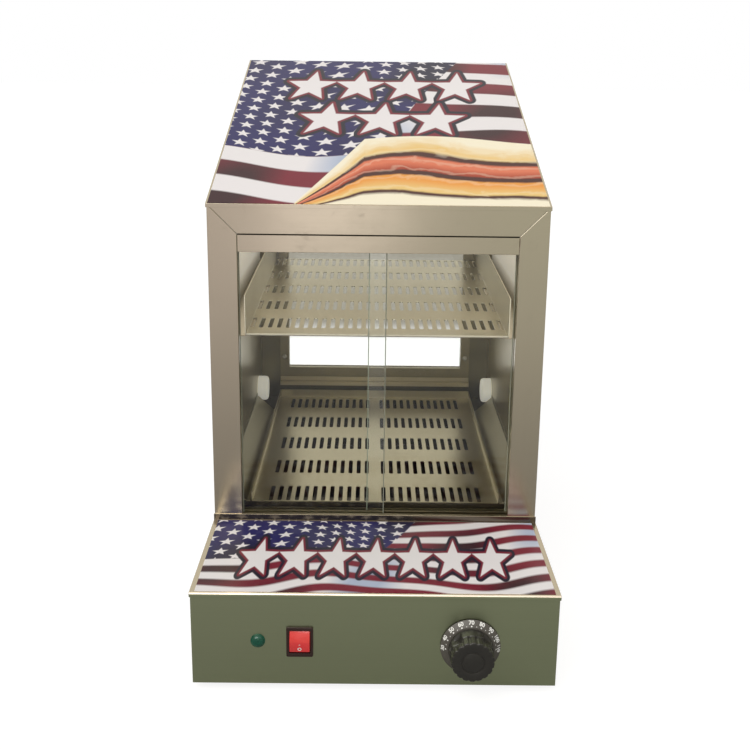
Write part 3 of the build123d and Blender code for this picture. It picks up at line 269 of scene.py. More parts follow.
brushed_grain = make_brushed_grain()
handling_marks = make_handling()
star_outline = make_star()


def handled(tree, point, amount):
    """Where a surface is smeared by handling: a field from 0 to 1."""
    return Field(tree, use_group(tree, handling_marks, Point=point, Amount=amount)["Mask"])


def outside_star(tree, across, up, radius):
    """The distance outside a star round the origin, below zero within it."""
    node = use_group(tree, star_outline, Across=across, Up=up, Radius=radius)
    return Field(tree, node["Distance"])


def toned(tint, share, lift=0.0):
    """A colour made darker or lighter."""
    return (*(min(1.0, c * share + lift) for c in tint[:3]), 1.0)


def start_material(name):
    """A material, its tree, its surface node and the point on the surface."""
    material = bpy.data.materials.new(name)
    material.use_nodes = True
    tree = material.node_tree
    tree.nodes.clear()
    surface = add_node(tree, "ShaderNodeBsdfPrincipled")
    output = add_node(tree, "ShaderNodeOutputMaterial")
    tree.links.new(surface.outputs[0], output.inputs["Surface"])
    return material, tree, surface, stretched(tree)


def bump(tree, height, strength, distance):
    node = add_node(
        tree, "ShaderNodeBump", {"Height": height, "Strength": strength, "Distance": distance}
    )
    return node.outputs["Normal"]


LONG, FINE = 3.0, 2600.0
GRAIN_ALONG = {"x": (LONG, FINE, FINE), "y": (FINE, LONG, FINE), "z": (FINE, FINE, LONG)}
# Painted shadow for the dark of a seam, and the pale colour of painted light high on the inner
# walls.
SEAM_PAINTED_SHADOW = colour(22, 18, 12)
PAINTED_LIGHT_WHITE = colour(226, 220, 206)


def steel(name, grain, tint, roughness=0.17, haze=1.0, strength=0.12, painted_shadow_above=None, painted_light_above=None):
    """Brushed stainless steel with its scratches along one axis.

    painted_shadow_above is a height above which painted shadow darkens the surface, as in a
    seam, and painted_light_above one above which the surface is painted pale, made less
    metallic and set to glow: painted light.
    """
    material, tree, surface, point = start_material(name)
    grained = use_group(
        tree, brushed_grain, Stretched=stretched(tree, GRAIN_ALONG[grain]),
        Roughness=roughness, Spread=strength * 0.4,
    )
    marks = handled(tree, point, haze)
    tone = grained["Tone"]
    shade = add_node(tree, "ShaderNodeCombineColor", {0: tone, 1: tone, 2: tone})
    base = blend_colours(tree, 1.0, tint, shade.outputs[0], how="MULTIPLY")
    base = blend_colours(tree, marks * 0.35, base, toned(tint, 0.86))
    # Painted shadow: above this height the steel is darkened like the shade in the seam under
    # the top rail.
    if painted_shadow_above:
        base = blend_colours(tree, height_at(tree).above(painted_shadow_above, 0.2 * MM), base, SEAM_PAINTED_SHADOW)
    metallic = 1.0
    # Painted light: above this height the steel is painted pale, made less metallic and set to
    # glow, to brighten the upper inner walls.
    if painted_light_above:
        pale = height_at(tree).above(painted_light_above, 12 * MM)
        base = blend_colours(tree, pale, base, PAINTED_LIGHT_WHITE)
        metallic = (pale * 0.75).inverse()
        connect(tree, surface, Emission_Color=base, Emission_Strength=pale * 0.42)
    connect(
        tree, surface, Base_Color=base, Metallic=metallic,
        Roughness=(Field(tree, grained["Roughness"]) + marks * 0.1).least(1.0),
        Normal=bump(tree, grained["Height"], strength, 0.00002),
    )
    return material


WARM_STEEL = colour(200, 190, 171)
# A darker olive copy of the steel for the control front: partly its duller finish, partly
# painted shade.
SHADED_OLIVE_STEEL = colour(170, 178, 146)
DEEP_STEEL = colour(184, 174, 146)
SHADED_STEEL = colour(114, 108, 86)
# Heights above which the inner walls and the inner back are painted pale and glowing: painted
# light.
WALL_PAINTED_LIGHT, BACK_PAINTED_LIGHT = 0.325, 0.41
# The header is darkened with painted shadow from just under the top rail's lower edge upward.
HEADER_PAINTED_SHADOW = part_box("bezel_top_rail")[0].z - 1.4 * MM
steel_across = steel("steel_grain_across", "x", WARM_STEEL)
steel_upright = steel("steel_grain_upright", "z", WARM_STEEL)
steel_deep = steel("steel_grain_front_to_back", "y", WARM_STEEL)
# The control front and the control top's front lip: painted shade in the darker olive tint,
# with a duller finish.
steel_control = steel("steel_control_front", "x", SHADED_OLIVE_STEEL, roughness=0.3, haze=0.4)
steel_liner = steel("steel_liner", "z", DEEP_STEEL, roughness=0.3)
# Painted light: the inner walls, the ceiling liner and the inner back turn pale and glow above
# their heights.
steel_wall = steel("steel_wall", "z", DEEP_STEEL, roughness=0.3, painted_light_above=WALL_PAINTED_LIGHT)
# Painted shade: the rear window frame is tinted dark for the shade it lies in.
steel_back = steel("steel_back_wall", "z", colour(134, 126, 102), roughness=0.3)
# Painted shade: the drip guides are tinted dark for the shade they lie in.
steel_guide = steel("steel_drip_guide", "y", colour(140, 134, 112), roughness=0.36)
steel_inner_back = steel("steel_inner_back", "z", SHADED_STEEL, roughness=0.3, painted_light_above=BACK_PAINTED_LIGHT)
steel_shelf = steel("steel_shelf", "x", colour(194, 187, 166), roughness=0.31, strength=0.03)
steel_tray = steel("steel_tray", "x", colour(186, 178, 152), roughness=0.28, strength=0.03)
# Painted shade: the sill is tinted dark for the shade in its grooves.
steel_sill = steel("steel_sill", "x", colour(134, 124, 100), roughness=0.32, strength=0.05)
# Painted shade on the control top's upstand, and a painted highlight on the bead over its front
# lip.
upstand_shade_steel = steel("upstand_shade_steel", "x", colour(118, 110, 100), roughness=0.22)
bead_highlight_steel = steel("bead_highlight_steel", "x", colour(238, 226, 208), roughness=0.34)
# The header takes a painted shadow line along its top, under the top rail.
steel_header = steel("steel_header", "x", WARM_STEEL, painted_shadow_above=HEADER_PAINTED_SHADOW)
steel_pan = steel("steel_pan", "y", colour(72, 66, 56), roughness=0.4, haze=1.6)


def plain_metal(name, tint, roughness):
    """Machined or plated metal with light handling marks."""
    material, tree, surface, point = start_material(name)
    fine = noise(tree, point, 1400.0, detail=2.0)
    marks = handled(tree, point, 1.0)
    base = blend_colours(tree, marks * 0.4, tint, toned(tint, 0.7))
    connect(
        tree, surface, Base_Color=base, Metallic=1.0,
        Roughness=(fine - 0.5) * 0.15 + marks * 0.12 + roughness,
        Normal=bump(tree, fine, 0.15, 0.00003),
    )
    return material


zinc = plain_metal("zinc_plate", colour(205, 203, 196), 0.28)
brass = plain_metal("machined_brass", colour(205, 170, 96), 0.25)
copper = plain_metal("copper_tube", colour(196, 128, 92), 0.3)
element_metal = plain_metal("element_sheath", colour(96, 90, 84), 0.42)


def plastic(name, tint, roughness, grain=0.0, coat=0.0, glow=0.0):
    """Moulded plastic: slight mottling, a fine texture and rubbed patches."""
    material, tree, surface, point = start_material(name)
    texture = noise(tree, point, 2400.0, detail=2.0)
    mottle = noise(tree, point, 60.0, detail=3.0)
    marks = handled(tree, point, 0.7)
    base = blend_colours(tree, mottle.above(0.5, 0.3) * 0.6, tint, toned(tint, 1.25, 0.004))
    connect(
        tree, surface, Base_Color=base, Coat_Weight=coat, Coat_Roughness=0.12,
        Roughness=(mottle - 0.5) * 0.08 + marks * 0.15 + roughness,
        Normal=bump(tree, texture, grain, 0.00004),
    )
    # glow sets the plastic to shine of itself: painted light.
    if glow:
        connect(tree, surface, Emission_Color=base, Emission_Strength=glow)
    return material


black_gloss = plastic("black_knob_plastic", colour(34, 32, 28), 0.3, grain=0.04, coat=0.3)
dial_black = plastic("black_dial_plastic", colour(82, 78, 71), 0.4, grain=0.04, coat=0.2)
black_matt = plastic("black_moulding", colour(26, 24, 22), 0.45, grain=0.5)
rubber = plastic("black_rubber", colour(30, 29, 28), 0.7, grain=0.8)
white_gloss = plastic("white_plastic", colour(236, 234, 226), 0.3, grain=0.1, coat=0.3)
# The wall caps glow a little: painted light that brightens them in the dim cabinet.
cap_white = plastic("white_wall_cap", colour(236, 230, 216), 0.35, grain=0.1, glow=0.32)
sign_white = plastic("white_marking", colour(240, 238, 230), 0.5, grain=0.1)
lever_red = plastic("red_enamel", colour(176, 30, 26), 0.25, grain=0.1, coat=0.5)
switch_black = plastic("switch_moulding", colour(44, 24, 20), 0.4, grain=0.3)
RIDGE_HEIGHT = 54.9 * MM   # where the rocker's two halves meet


def rocker_material():
    """Translucent red rocker with a faint glow: its raised upper half is painted lighter than
    the lower, as painted light from above.
    """
    material, tree, surface, point = start_material("red_rocker")
    texture = noise(tree, point, 900.0, detail=2.0)
    upper = height_at(tree).above(RIDGE_HEIGHT, 0.5 * MM)
    base = blend_colours(tree, upper, colour(202, 48, 50), colour(212, 58, 54))
    base = blend_colours(tree, (texture - 0.4) * 0.25, base, colour(240, 120, 104))
    connect(
        tree, surface, Base_Color=base, Roughness=(texture - 0.5) * 0.08 + 0.3,
        Coat_Weight=0.4, Coat_Roughness=0.12, Emission_Color=base, Emission_Strength=0.2,
    )
    return material


rocker_red = rocker_material()


def lens_material():
    """Dark green lens, set to glow faintly: painted light for the light caught in its rim."""
    material, tree, surface, point = start_material("green_lens")
    mottle = noise(tree, point, 400.0, detail=2.0)
    base = blend_colours(tree, mottle, colour(0, 54, 40), colour(0, 88, 66))
    connect(
        tree, surface, Base_Color=base, Roughness=(mottle - 0.5) * 0.06 + 0.16,
        Coat_Weight=0.3, Coat_Roughness=0.05, Emission_Color=base, Emission_Strength=0.12,
    )
    return material


green_lens = lens_material()


def glass_material():
    """Clear float glass, faintly green, with light wiping haze. Shadows pass through it."""
    material, tree, surface, point = start_material("clear_glass")
    marks = handled(tree, point, 0.6)
    connect(
        tree, surface, Base_Color=colour(253, 254, 253), Roughness=marks * 0.02,
        IOR=1.3, Transmission_Weight=1.0,
    )
    path = add_node(tree, "ShaderNodeLightPath")
    clear = add_node(tree, "ShaderNodeBsdfTransparent", {"Color": colour(246, 251, 247)})
    see = Field(tree, path.outputs["Is Shadow Ray"]).most(path.outputs["Is Diffuse Ray"])
    mixed = add_node(
        tree, "ShaderNodeMixShader", {0: see, 1: surface.outputs[0], 2: clear.outputs[0]}
    )
    output = next(n for n in tree.nodes if n.type == "OUTPUT_MATERIAL")
    tree.links.new(mixed.outputs[0], output.inputs["Surface"])
    return material


def ground_edge_material():
    """The ground edge of a pane: milky and green."""
    material, tree, surface, point = start_material("ground_glass_edge")
    grit = noise(tree, point, 1800.0, detail=2.0)
    base = blend_colours(tree, grit, colour(138, 141, 125), colour(168, 170, 153))
    connect(
        tree, surface, Base_Color=base, Roughness=(grit - 0.5) * 0.2 + 0.45,
        Normal=bump(tree, grit, 0.4, 0.00003),
    )
    return material


glass = glass_material()
ground_edge = ground_edge_material()

# ---------------------------------------------------------------- printed films
FLAG_BLUE = colour(30, 27, 92)
NIGHT_BLUE = colour(12, 10, 38)
FLAG_RED = colour(122, 22, 46)
DUSK_RED = colour(52, 14, 28)
FLAG_WHITE = colour(236, 231, 230)
SHADOW_BLUE = colour(150, 170, 200)
STRAW = colour(238, 200, 124)
CREAM = colour(250, 240, 212)
AMBER = colour(238, 158, 66)
CORAL = colour(224, 120, 84)
BRICK = colour(170, 62, 34)
UMBER = colour(70, 28, 24)


def star_field(tree, across, up, pitch, radius, lean):
    """Staggered and leaning rows of small stars: a mask."""
    row_pitch = pitch * 0.8
    along = across * cos(lean) + up * sin(lean)
    over = up * cos(lean) - across * sin(lean)
    row = over / row_pitch
    column = along / pitch + (row.floor() / 2).fraction()
    px = (column.fraction() - 0.5) * pitch
    py = (row.fraction() - 0.5) * row_pitch
    distance = outside_star(
        tree, px * cos(lean) - py * sin(lean), px * sin(lean) + py * cos(lean), radius
    )
    return distance.above(0.0, radius * 0.06).inverse()


def waving(across, up, amount, length):
    """Folds of cloth: how far the cloth is lifted at a point, and its light and shade."""
    run = across * (2 * pi / length) + up * (pi / length)
    ripple = across * (4.6 * pi / length)
    lift = run.sine() * amount + (ripple + 1.7).sine() * (amount * 0.28)
    shade = (run + 0.9).cosine() + (ripple - up * (3 * pi / length)).sine() * 0.5
    return lift, shade


def flag(tree, across, up, stripe, corner, slant, star_pitch, wave, length):
    """A waving cloth with stripes and a starry corner.

    stripe is a stripe's width, corner the starry corner's right and lower limit, slant how far
    that right limit leans, and wave and length the height and length of the cloth's folds.
    """
    lift, shade = waving(across, up, wave, length)
    flown = up + lift
    bands = ((flown - corner[1]) / (2 * stripe) - 0.25).fraction()
    red = (bands - 0.5).size().above(0.25, 0.0009 / stripe)
    dusk = (shade * -1.0).above(0.75, 0.5)
    cool = shade.above(0.75, 0.5)
    reds = blend_colours(tree, dusk, FLAG_RED, DUSK_RED)
    whites = blend_colours(tree, cool * 0.75, FLAG_WHITE, SHADOW_BLUE)
    stripes = blend_colours(tree, red, whites, reds)
    stars = star_field(tree, across + lift * 0.5, flown, star_pitch, star_pitch * 0.36, 0.45)
    night = blend_colours(tree, dusk * 0.8 + cool * 0.3, FLAG_BLUE, NIGHT_BLUE)
    starry = blend_colours(tree, stars, night, FLAG_WHITE)
    edge = across - flown * slant
    within = edge.above(corner[0], 0.0008).inverse() * flown.above(corner[1], 0.0008)
    return blend_colours(tree, within, stripes, starry)


def large_stars(tree, under, across, up, first, pitch, count, radius, stretch):
    """A row of large white stars, each with a red and a dark blue outline.

    first is where the first star's middle lies, and stretch makes the stars lower than wide.
    """
    index = ((across - first) / pitch + 0.5).floor().most(0.0).least(float(count - 1))
    px = across - (index * pitch + first)
    py = up * stretch
    distance = outside_star(tree, px - py * 0.16, py + radius * 0.08, radius)
    art = under
    for rim, tint in ((0.24, NIGHT_BLUE), (0.1, FLAG_RED), (0.0, FLAG_WHITE)):
        within = distance.above(radius * rim, radius * 0.02).inverse()
        art = blend_colours(tree, within, art, tint)
    return art


def warm_ribbons(tree, point, under, across, up):
    """Layers of warm colour that flow from a point at the lower left to the right."""
    brushed = noise(tree, point, 26.0, detail=4.0, distortion=0.8) - 0.5
    grow = (across + 0.088).above(0.036, 0.036)
    top = grow * 0.155 - 0.205 + (across * 21.0 + 0.4).sine() * 0.011
    layer = (top - up) / (grow * 0.15 + 0.006)
    layer = layer + (across * 34.0 + layer * 2.2).sine() * 0.05 + brushed * 0.05
    inside = (top - up).above(0.0, 0.001) * (across + 0.086).above(0.0, 0.001)
    art = blend_colours(tree, layer.above(0.16, 0.1) * 0.9 + brushed, CREAM, STRAW)
    for start, soft, tint in (
        (0.32, 0.02, UMBER), (0.4, 0.015, CORAL), (0.54, 0.05, BRICK), (0.61, 0.012, UMBER),
        (0.68, 0.012, AMBER), (0.8, 0.06, STRAW), (0.9, 0.012, UMBER), (0.95, 0.02, CREAM),
    ):
        art = blend_colours(tree, layer.above(start, soft), art, tint)
    sheen = (layer * 46.0 + brushed * 9.0).sine().above(0.7, 0.3)
    art = blend_colours(tree, sheen * 0.22, art, CREAM)
    return blend_colours(tree, inside, under, art)


def film_surface(tree, surface, point, art):
    """Glossy printed film: the art, a clear coat and slight waviness from laying it."""
    wavy = noise(tree, point, 14.0, detail=2.0)
    dots = noise(tree, point, 1500.0, detail=1.0)
    marks = handled(tree, point, 0.6)
    printed = blend_colours(tree, (dots - 0.5).size() * 0.12, art, FLAG_WHITE)
    connect(
        tree, surface, Base_Color=printed, Roughness=marks * 0.12 + 0.3,
        Specular_IOR_Level=0.18, Normal=bump(tree, wavy, 0.2, 0.0006),
    )


def film_place(tree, node):
    """Where a point lies on a film: to the right of its middle, and behind it."""
    low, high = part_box(node)
    across, depth, _ = place(tree)
    return across - (low.x + high.x) / 2, depth - (low.y + high.y) / 2


def control_film():
    """Film on the control top: starry cloth and stripes with a row of large stars."""
    material, tree, surface, point = start_material("printed_film_control")
    across, up = film_place(tree, "control_print")
    art = flag(tree, across, up, stripe=0.0138, corner=(0.0, -0.006), slant=0.5,
               star_pitch=0.021, wave=0.011, length=0.25)
    art = large_stars(tree, art, across, up + 0.006, first=-0.118, pitch=0.0393, count=7,
                      radius=0.0205, stretch=0.46)
    film_surface(tree, surface, point, art)
    return material


def roof_film():
    """Film on the roof: starry cloth, two rows of large stars and warm ribbons below."""
    material, tree, surface, point = start_material("printed_film_roof")
    across, up = film_place(tree, "top_print")
    art = flag(tree, across, up, stripe=0.042, corner=(0.03, -0.078), slant=0.35,
               star_pitch=0.031, wave=-0.018, length=0.4)
    art = large_stars(tree, art, across, up - 0.122, first=-0.086, pitch=0.062, count=4,
                      radius=0.033, stretch=0.62)
    art = large_stars(tree, art, across, up - 0.012, first=-0.062, pitch=0.066, count=3,
                      radius=0.035, stretch=0.68)
    art = warm_ribbons(tree, point, art, across, up)
    film_surface(tree, surface, point, art)
    return material


control_print_film = control_film()
roof_print_film = roof_film()

# ---------------------------------------------------------------- modelling helpers
SHEET_ROUND = 0.4 * MM
FOLD_ROUND = 0.8 * MM
BEAD_WIDTH = 2.4 * MM


def go_to(mode):
    bpy.ops.object.mode_set(mode=mode)


def deselect_all():
    bpy.ops.object.select_all(action="DESELECT")


def new_object(name, data):
    piece = bpy.data.objects.new(name, data)
    bpy.context.scene.collection.objects.link(piece)
    return piece


def make_active(piece):
    deselect_all()
    piece.select_set(True)
    bpy.context.view_layer.objects.active = piece


def apply_modifiers(piece):
    make_active(piece)
    for modifier in list(piece.modifiers):
        bpy.ops.object.modifier_apply(modifier=modifier.name)


def dress(piece, material):
    """Gives a piece its one material."""
    piece.data.materials.clear()
    piece.data.materials.append(material)


def settle(piece, name, material, body, replaced=()):
    """Names a finished piece, puts its place into its mesh and hands it to its body."""
    make_active(piece)
    bpy.ops.object.transform_apply(location=True, rotation=True, scale=True)
    piece.name = name
    piece.data.name = name
    dress(piece, material)
    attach(piece, body)
    if replaced:
        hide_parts(*replaced)
    return piece


def stand_for(piece, node, material):
    """A new shape takes the place of a solid."""
    return settle(piece, node + "_finished", material, body_of[node],
                  replaced=(node,))


def smooth(piece, degrees):
    """Shades a piece smoothly, apart from bends that are sharper than an angle."""
    make_active(piece)
    bpy.ops.object.shade_smooth_by_angle(angle=radians(degrees))


def unit_shape(add, scale, spot=(0, 0, 0)):
    """A unit cube or plane, stretched and put on its spot."""
    deselect_all()
    add(size=1)
    piece = bpy.context.active_object
    piece.scale = scale
    piece.location = spot
    bpy.ops.object.transform_apply(location=True, rotation=False, scale=True)
    return piece


def cut(piece, cutter):
    """Takes one shape out of another, and removes it."""
    hole = piece.modifiers.new("hole", "BOOLEAN")
    hole.operation = "DIFFERENCE"
    hole.solver = "EXACT"
    hole.object = cutter
    apply_modifiers(piece)
    bpy.data.objects.remove(cutter)


def select_edges(piece, test):
    """Selects the edges whose two ends pass a test, and goes into edit mode."""
    make_active(piece)
    go_to("EDIT")
    bpy.ops.mesh.select_mode(type="EDGE")
    bpy.ops.mesh.select_all(action="DESELECT")
    go_to("OBJECT")
    for edge in piece.data.edges:
        edge.select = test(*(piece.data.vertices[i].co for i in edge.vertices))
    go_to("EDIT")


def rounded_copy(node, material, width, segments=2, flat=False, bead=None):
    """A copy of a solid with its sharp edges rounded, which stands for it.

    bead tests the two ends of an edge, and picks those that get a wider round first.
    """
    piece = new_object(node + "_finished", nodes[node].data.copy())
    make_active(piece)
    go_to("EDIT")
    bpy.ops.mesh.select_all(action="SELECT")
    bpy.ops.mesh.remove_doubles(threshold=0.002 * MM)
    bpy.ops.mesh.dissolve_limited(angle_limit=radians(0.8))
    go_to("OBJECT")
    if bead:
        select_edges(piece, bead)
        bpy.ops.mesh.bevel(offset=BEAD_WIDTH, segments=4, affect="EDGES")
        go_to("OBJECT")
    if flat:
        bpy.ops.object.shade_flat()
    else:
        bpy.ops.object.shade_smooth()
    rounding = piece.modifiers.new("rounding", "BEVEL")
    rounding.width = width
    rounding.segments = segments
    rounding.limit_method = "ANGLE"
    rounding.angle_limit = radians(40)
    rounding.use_clamp_overlap = True
    rounding.harden_normals = not flat
    apply_modifiers(piece)
    return stand_for(piece, node, material)


def lathe(steps, sides=48, unit=(MM, MM)):
    """A turned shape along +Z, from (radius, height) steps that start at height 0.

    The steps are in millimetres, or in the radius and height that unit gives.
    """
    steps = [(radius * unit[0], height * unit[1]) for radius, height in steps]
    deselect_all()
    radius, height = steps[0]
    bpy.ops.mesh.primitive_circle_add(vertices=sides, radius=radius, fill_type="NGON")
    piece = bpy.context.active_object
    go_to("EDIT")
    bpy.ops.mesh.select_all(action="SELECT")
    for next_radius, next_height in steps[1:]:
        rise = (0, 0, next_height - height)
        bpy.ops.mesh.extrude_region_move(TRANSFORM_OT_translate={"value": rise})
        share = next_radius / radius
        bpy.ops.transform.resize(value=(share, share, 1), center_override=(0, 0, next_height))
        radius, height = next_radius, next_height
    bpy.ops.mesh.select_all(action="SELECT")
    bpy.ops.mesh.normals_make_consistent(inside=False)
    go_to("OBJECT")
    smooth(piece, 38)
    return piece


def back_middle(node):
    """The middle of a solid's back, where a knob or a lens sits on the panel behind it."""
    low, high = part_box(node)
    middle = (low + high) / 2
    return Vector((middle.x, high.y, middle.z))


def facing(spot, direction):
    """The move that takes a shape from the origin to a spot, with its +Z turned outwards."""
    turn = Vector((0, 0, 1)).rotation_difference(Vector(direction)).to_matrix().to_4x4()
    return Matrix.Translation(spot) @ turn


def copies_of(master, moves):
    """One object made of copies of a shape, each moved to its own place."""
    parts = []
    for move in moves:
        piece = new_object(master.name, master.data.copy())
        piece.data.transform(move)
        parts.append(piece)
    bpy.data.objects.remove(master)
    return joined(parts)


def joined(parts):
    deselect_all()
    for piece in parts:
        piece.select_set(True)
    bpy.context.view_layer.objects.active = parts[0]
    if len(parts) > 1:
        bpy.ops.object.join()
    return bpy.context.view_layer.objects.active


# ---------------------------------------------------------------- sheet metal
def finish_control_top(piece):
    """Painted shade on the front lip and the upstand, a painted highlight on the bead over the
    lip, and the upstand's upper edge left in the plain steel.
    """
    for material in (steel_control, upstand_shade_steel, bead_highlight_steel):
        piece.data.materials.append(material)
    # The lip and the upstand get painted shade, and the bead a painted highlight.
    lip, upstand, bead = 1, 2, 3
    _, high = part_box("control_top")
    print_low, print_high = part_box("control_print")
    for face in piece.data.polygons:
        middle, normal = face.center, face.normal
        if middle.y > print_high.y + MM and print_low.z - MM < middle.z < high.z - 1.2 * MM:
            face.material_index = upstand
        elif middle.y < print_low.y and normal.y < -0.9:
            face.material_index = lip
        elif middle.y < print_low.y and normal.y < -0.2 and normal.z > 0.2:
            face.material_index = bead


def front_edge(first, second):
    """The long edge where the control top's deck turns down into its front lip."""
    low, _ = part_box("control_top")
    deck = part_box("control_print")[0].z
    return (max(first.y, second.y) < low.y + 0.1 * MM
            and min(first.z, second.z) > deck - 0.4 * MM)


rounded_sheets = {
    "top_panel": steel_across, "bezel_top_rail": steel_across, "header_track": steel_header,
    "sill_track": steel_sill, "control_top": steel_across, "control_front": steel_control,
    "bezel_stile_left": steel_upright, "bezel_stile_right": steel_upright,
    "side_panel_left": steel_upright, "side_panel_right": steel_upright,
    "back_panel": steel_across, "rear_window_frame": steel_back,
    "drip_guide_left": steel_guide, "drip_guide_right": steel_guide,
    "shelf_rail_left": steel_deep, "shelf_rail_right": steel_deep,
    "rear_ledge": steel_liner,
}
for node, material in rounded_sheets.items():
    folded = node in ("control_top", "top_panel")
    beaded = node == "control_top"
    sheet_copy = rounded_copy(
        node, material, FOLD_ROUND if folded else SHEET_ROUND, flat=True,
        bead=front_edge if beaded else None,
    )
    if beaded:
        finish_control_top(sheet_copy)

plain_nodes = {
    "base_tray": steel_across, "partition": steel_liner, "inner_wall_left": steel_wall,
    "inner_wall_right": steel_wall, "inner_back": steel_inner_back, "ceiling_liner": steel_wall,
    "water_pan": steel_pan, "element_nuts": zinc, "thermostat_screws": zinc,
    "foot_screws": zinc, "thermostat_shaft": zinc, "thermostat_bulb": copper,
    "thermostat_body": black_matt, "terminal_block": white_gloss, "pilot_body": black_matt,
    "rear_window_gasket": rubber, "rear_window_glass": glass, "drain_pipe": zinc,
    "top_print": roof_print_film, "control_print": control_print_film,
}
for node, material in plain_nodes.items():
    dress(nodes[node], material)

# ---------------------------------------------------------------- shelf and tray
SLOT_WIDTH = 4.8 * MM
SHEET_THICKNESS = 1.0 * MM


def slot_cutter(length):
    """An upright bar with rounded ends, to cut one slot."""
    bar = unit_shape(bpy.ops.mesh.primitive_cube_add, (SLOT_WIDTH, length, 6 * MM))
    select_edges(bar, lambda a, b: abs(a.z - b.z) > 3 * MM)
    bpy.ops.mesh.bevel(offset=SLOT_WIDTH * 0.46, segments=4, affect="EDGES")
    go_to("OBJECT")
    return bar


def fold(piece, test, *moves):
    """Pulls the edges that pass a test out into one or more folds, one after another."""
    select_edges(piece, test)
    for move in moves:
        bpy.ops.mesh.extrude_region_move(TRANSFORM_OT_translate={"value": move})
    go_to("OBJECT")


def sheet(half, length, low):
    """A flat sheet with its front edge on the X axis, at a height."""
    scale, spot = (2 * half, length, 1), (0, length / 2, low)
    return unit_shape(bpy.ops.mesh.primitive_plane_add, scale, spot)


def soften_bends(piece, radius):
    """Rounds the bends of a folded sheet, and gives it its thickness."""
    select_edges(piece, lambda a, b: False)
    bpy.ops.mesh.edges_select_sharp(sharpness=radians(60))
    bpy.ops.mesh.bevel(offset=radius, segments=3, affect="EDGES")
    bpy.ops.mesh.select_all(action="SELECT")
    bpy.ops.mesh.normals_make_consistent(inside=False)
    go_to("OBJECT")
    wall = piece.modifiers.new("thickness", "SOLIDIFY")
    wall.thickness = SHEET_THICKNESS
    wall.offset = 0.0
    apply_modifiers(piece)


def perforate(piece, cutter, columns, rows):
    """Cuts a slot at each column and row."""
    moves = [Matrix.Translation((x, y, 0)) for y in rows for x in columns]
    cut(piece, copies_of(cutter, moves))
    smooth(piece, 30)


def build_shelf():
    """Perforated shelf with tall side flanges and a low front hem, tilted to the front."""
    low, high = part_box("shelf")
    half = high.x - SHEET_THICKNESS / 2
    length = 383.5 * MM
    slope = radians(2.1)
    piece = sheet(half, length, SHEET_THICKNESS / 2)
    fold(piece, lambda a, b: abs(a.x - b.x) < MM and abs(a.x) > half - MM, (0, 0, 43.5 * MM))
    fold(piece, lambda a, b: max(a.y, b.y) < MM and max(a.z, b.z) < MM, (0, 0, 2.5 * MM))
    soften_bends(piece, 1.2 * MM)
    columns = [9.78 * MM * i for i in range(-14, 15)]
    rows = [(49.5 + 77.5 * i) * MM for i in range(5)]
    perforate(piece, slot_cutter(40 * MM), columns, rows)
    front = low.y + 44 * MM * sin(slope)
    piece.data.transform(
        Matrix.Translation((0, front, low.z)) @ Matrix.Rotation(slope, 4, "X")
        @ Matrix.Translation((0, SHEET_THICKNESS / 2, 0))
    )
    stand_for(piece, "shelf", steel_shelf)


def build_tray():
    """Perforated tray with hemmed sides and a raised back."""
    low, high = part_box("tray")
    half = high.x - SHEET_THICKNESS / 2
    length = high.y - low.y - SHEET_THICKNESS / 2
    middle_height = low.z + SHEET_THICKNESS / 2
    piece = sheet(half, length, middle_height)
    for hand in (1, -1):
        fold(piece, lambda a, b: abs(a.x - b.x) < MM and a.x * hand > half - MM,
             (0, 0, 11.2 * MM), (-1.6 * MM * hand, 0, 0))
    fold(piece, lambda a, b: min(a.y, b.y) > length - MM and max(a.z, b.z) < low.z + MM,
         (0, 0, 11.7 * MM))
    soften_bends(piece, 0.6 * MM)
    columns = [9.7 * MM * hand * (i + 1) for hand in (-1, 1) for i in range(12)]
    rows = [(22 + 82 * i) * MM for i in range(5)]
    cutter = slot_cutter(42 * MM)
    cutter.data.transform(Matrix.Translation((0, 0, middle_height)))
    perforate(piece, cutter, columns, rows)
    piece.data.transform(Matrix.Translation((0, low.y, 0)))
    stand_for(piece, "tray", steel_tray)


build_shelf()
build_tray()

# ---------------------------------------------------------------- doors
for node in ("door_left", "door_right"):
    door = rounded_copy(node, glass, 1.5 * MM, segments=1, flat=True)
    door.data.materials.append(ground_edge)
    for face in door.data.polygons:
        if abs(face.normal.y) < 0.97:
            face.material_index = 1

# ---------------------------------------------------------------- moulded and turned pieces
rounded_copy("switch_housing", switch_black, 0.4 * MM)
rounded_copy("rocker", rocker_red, 0.7 * MM, segments=3)
rounded_copy("cord_gland", black_matt, 0.4 * MM)
rounded_copy("drain_valve", brass, 0.4 * MM)
rounded_copy("drain_lever", lever_red, 0.4 * MM)
rounded_copy("heating_element", element_metal, 0.3 * MM)


def build_lens():
    """Domed lens of the pilot lamp, with a low rim."""
    dome = lathe([(7.0, 0), (7.0, 0.9), (6.75, 1.25), (6.2, 1.4), (6.05, 1.9), (5.6, 2.8),
                  (4.7, 3.6), (3.5, 4.15), (2.0, 4.42), (0.2, 4.5)])
    dome.data.transform(facing(back_middle("pilot_lens"), (0, -1, 0)))
    stand_for(dome, "pilot_lens", green_lens)


def build_wall_caps():
    """Round caps with a soft rim, one on each inner wall."""
    low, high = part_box("wall_caps")
    cap = lathe([(16.6, 0), (17.0, 0.5), (17.0, 10.0), (16.7, 11.6), (15.9, 12.9), (14.7, 13.7),
                 (13.2, 14.0), (0.5, 14.0)])
    middle = (low + high) / 2
    moves = [facing((x, middle.y, middle.z), (hand, 0, 0))
             for x, hand in ((low.x, 1), (high.x, -1))]
    stand_for(copies_of(cap, moves), "wall_caps", cap_white)


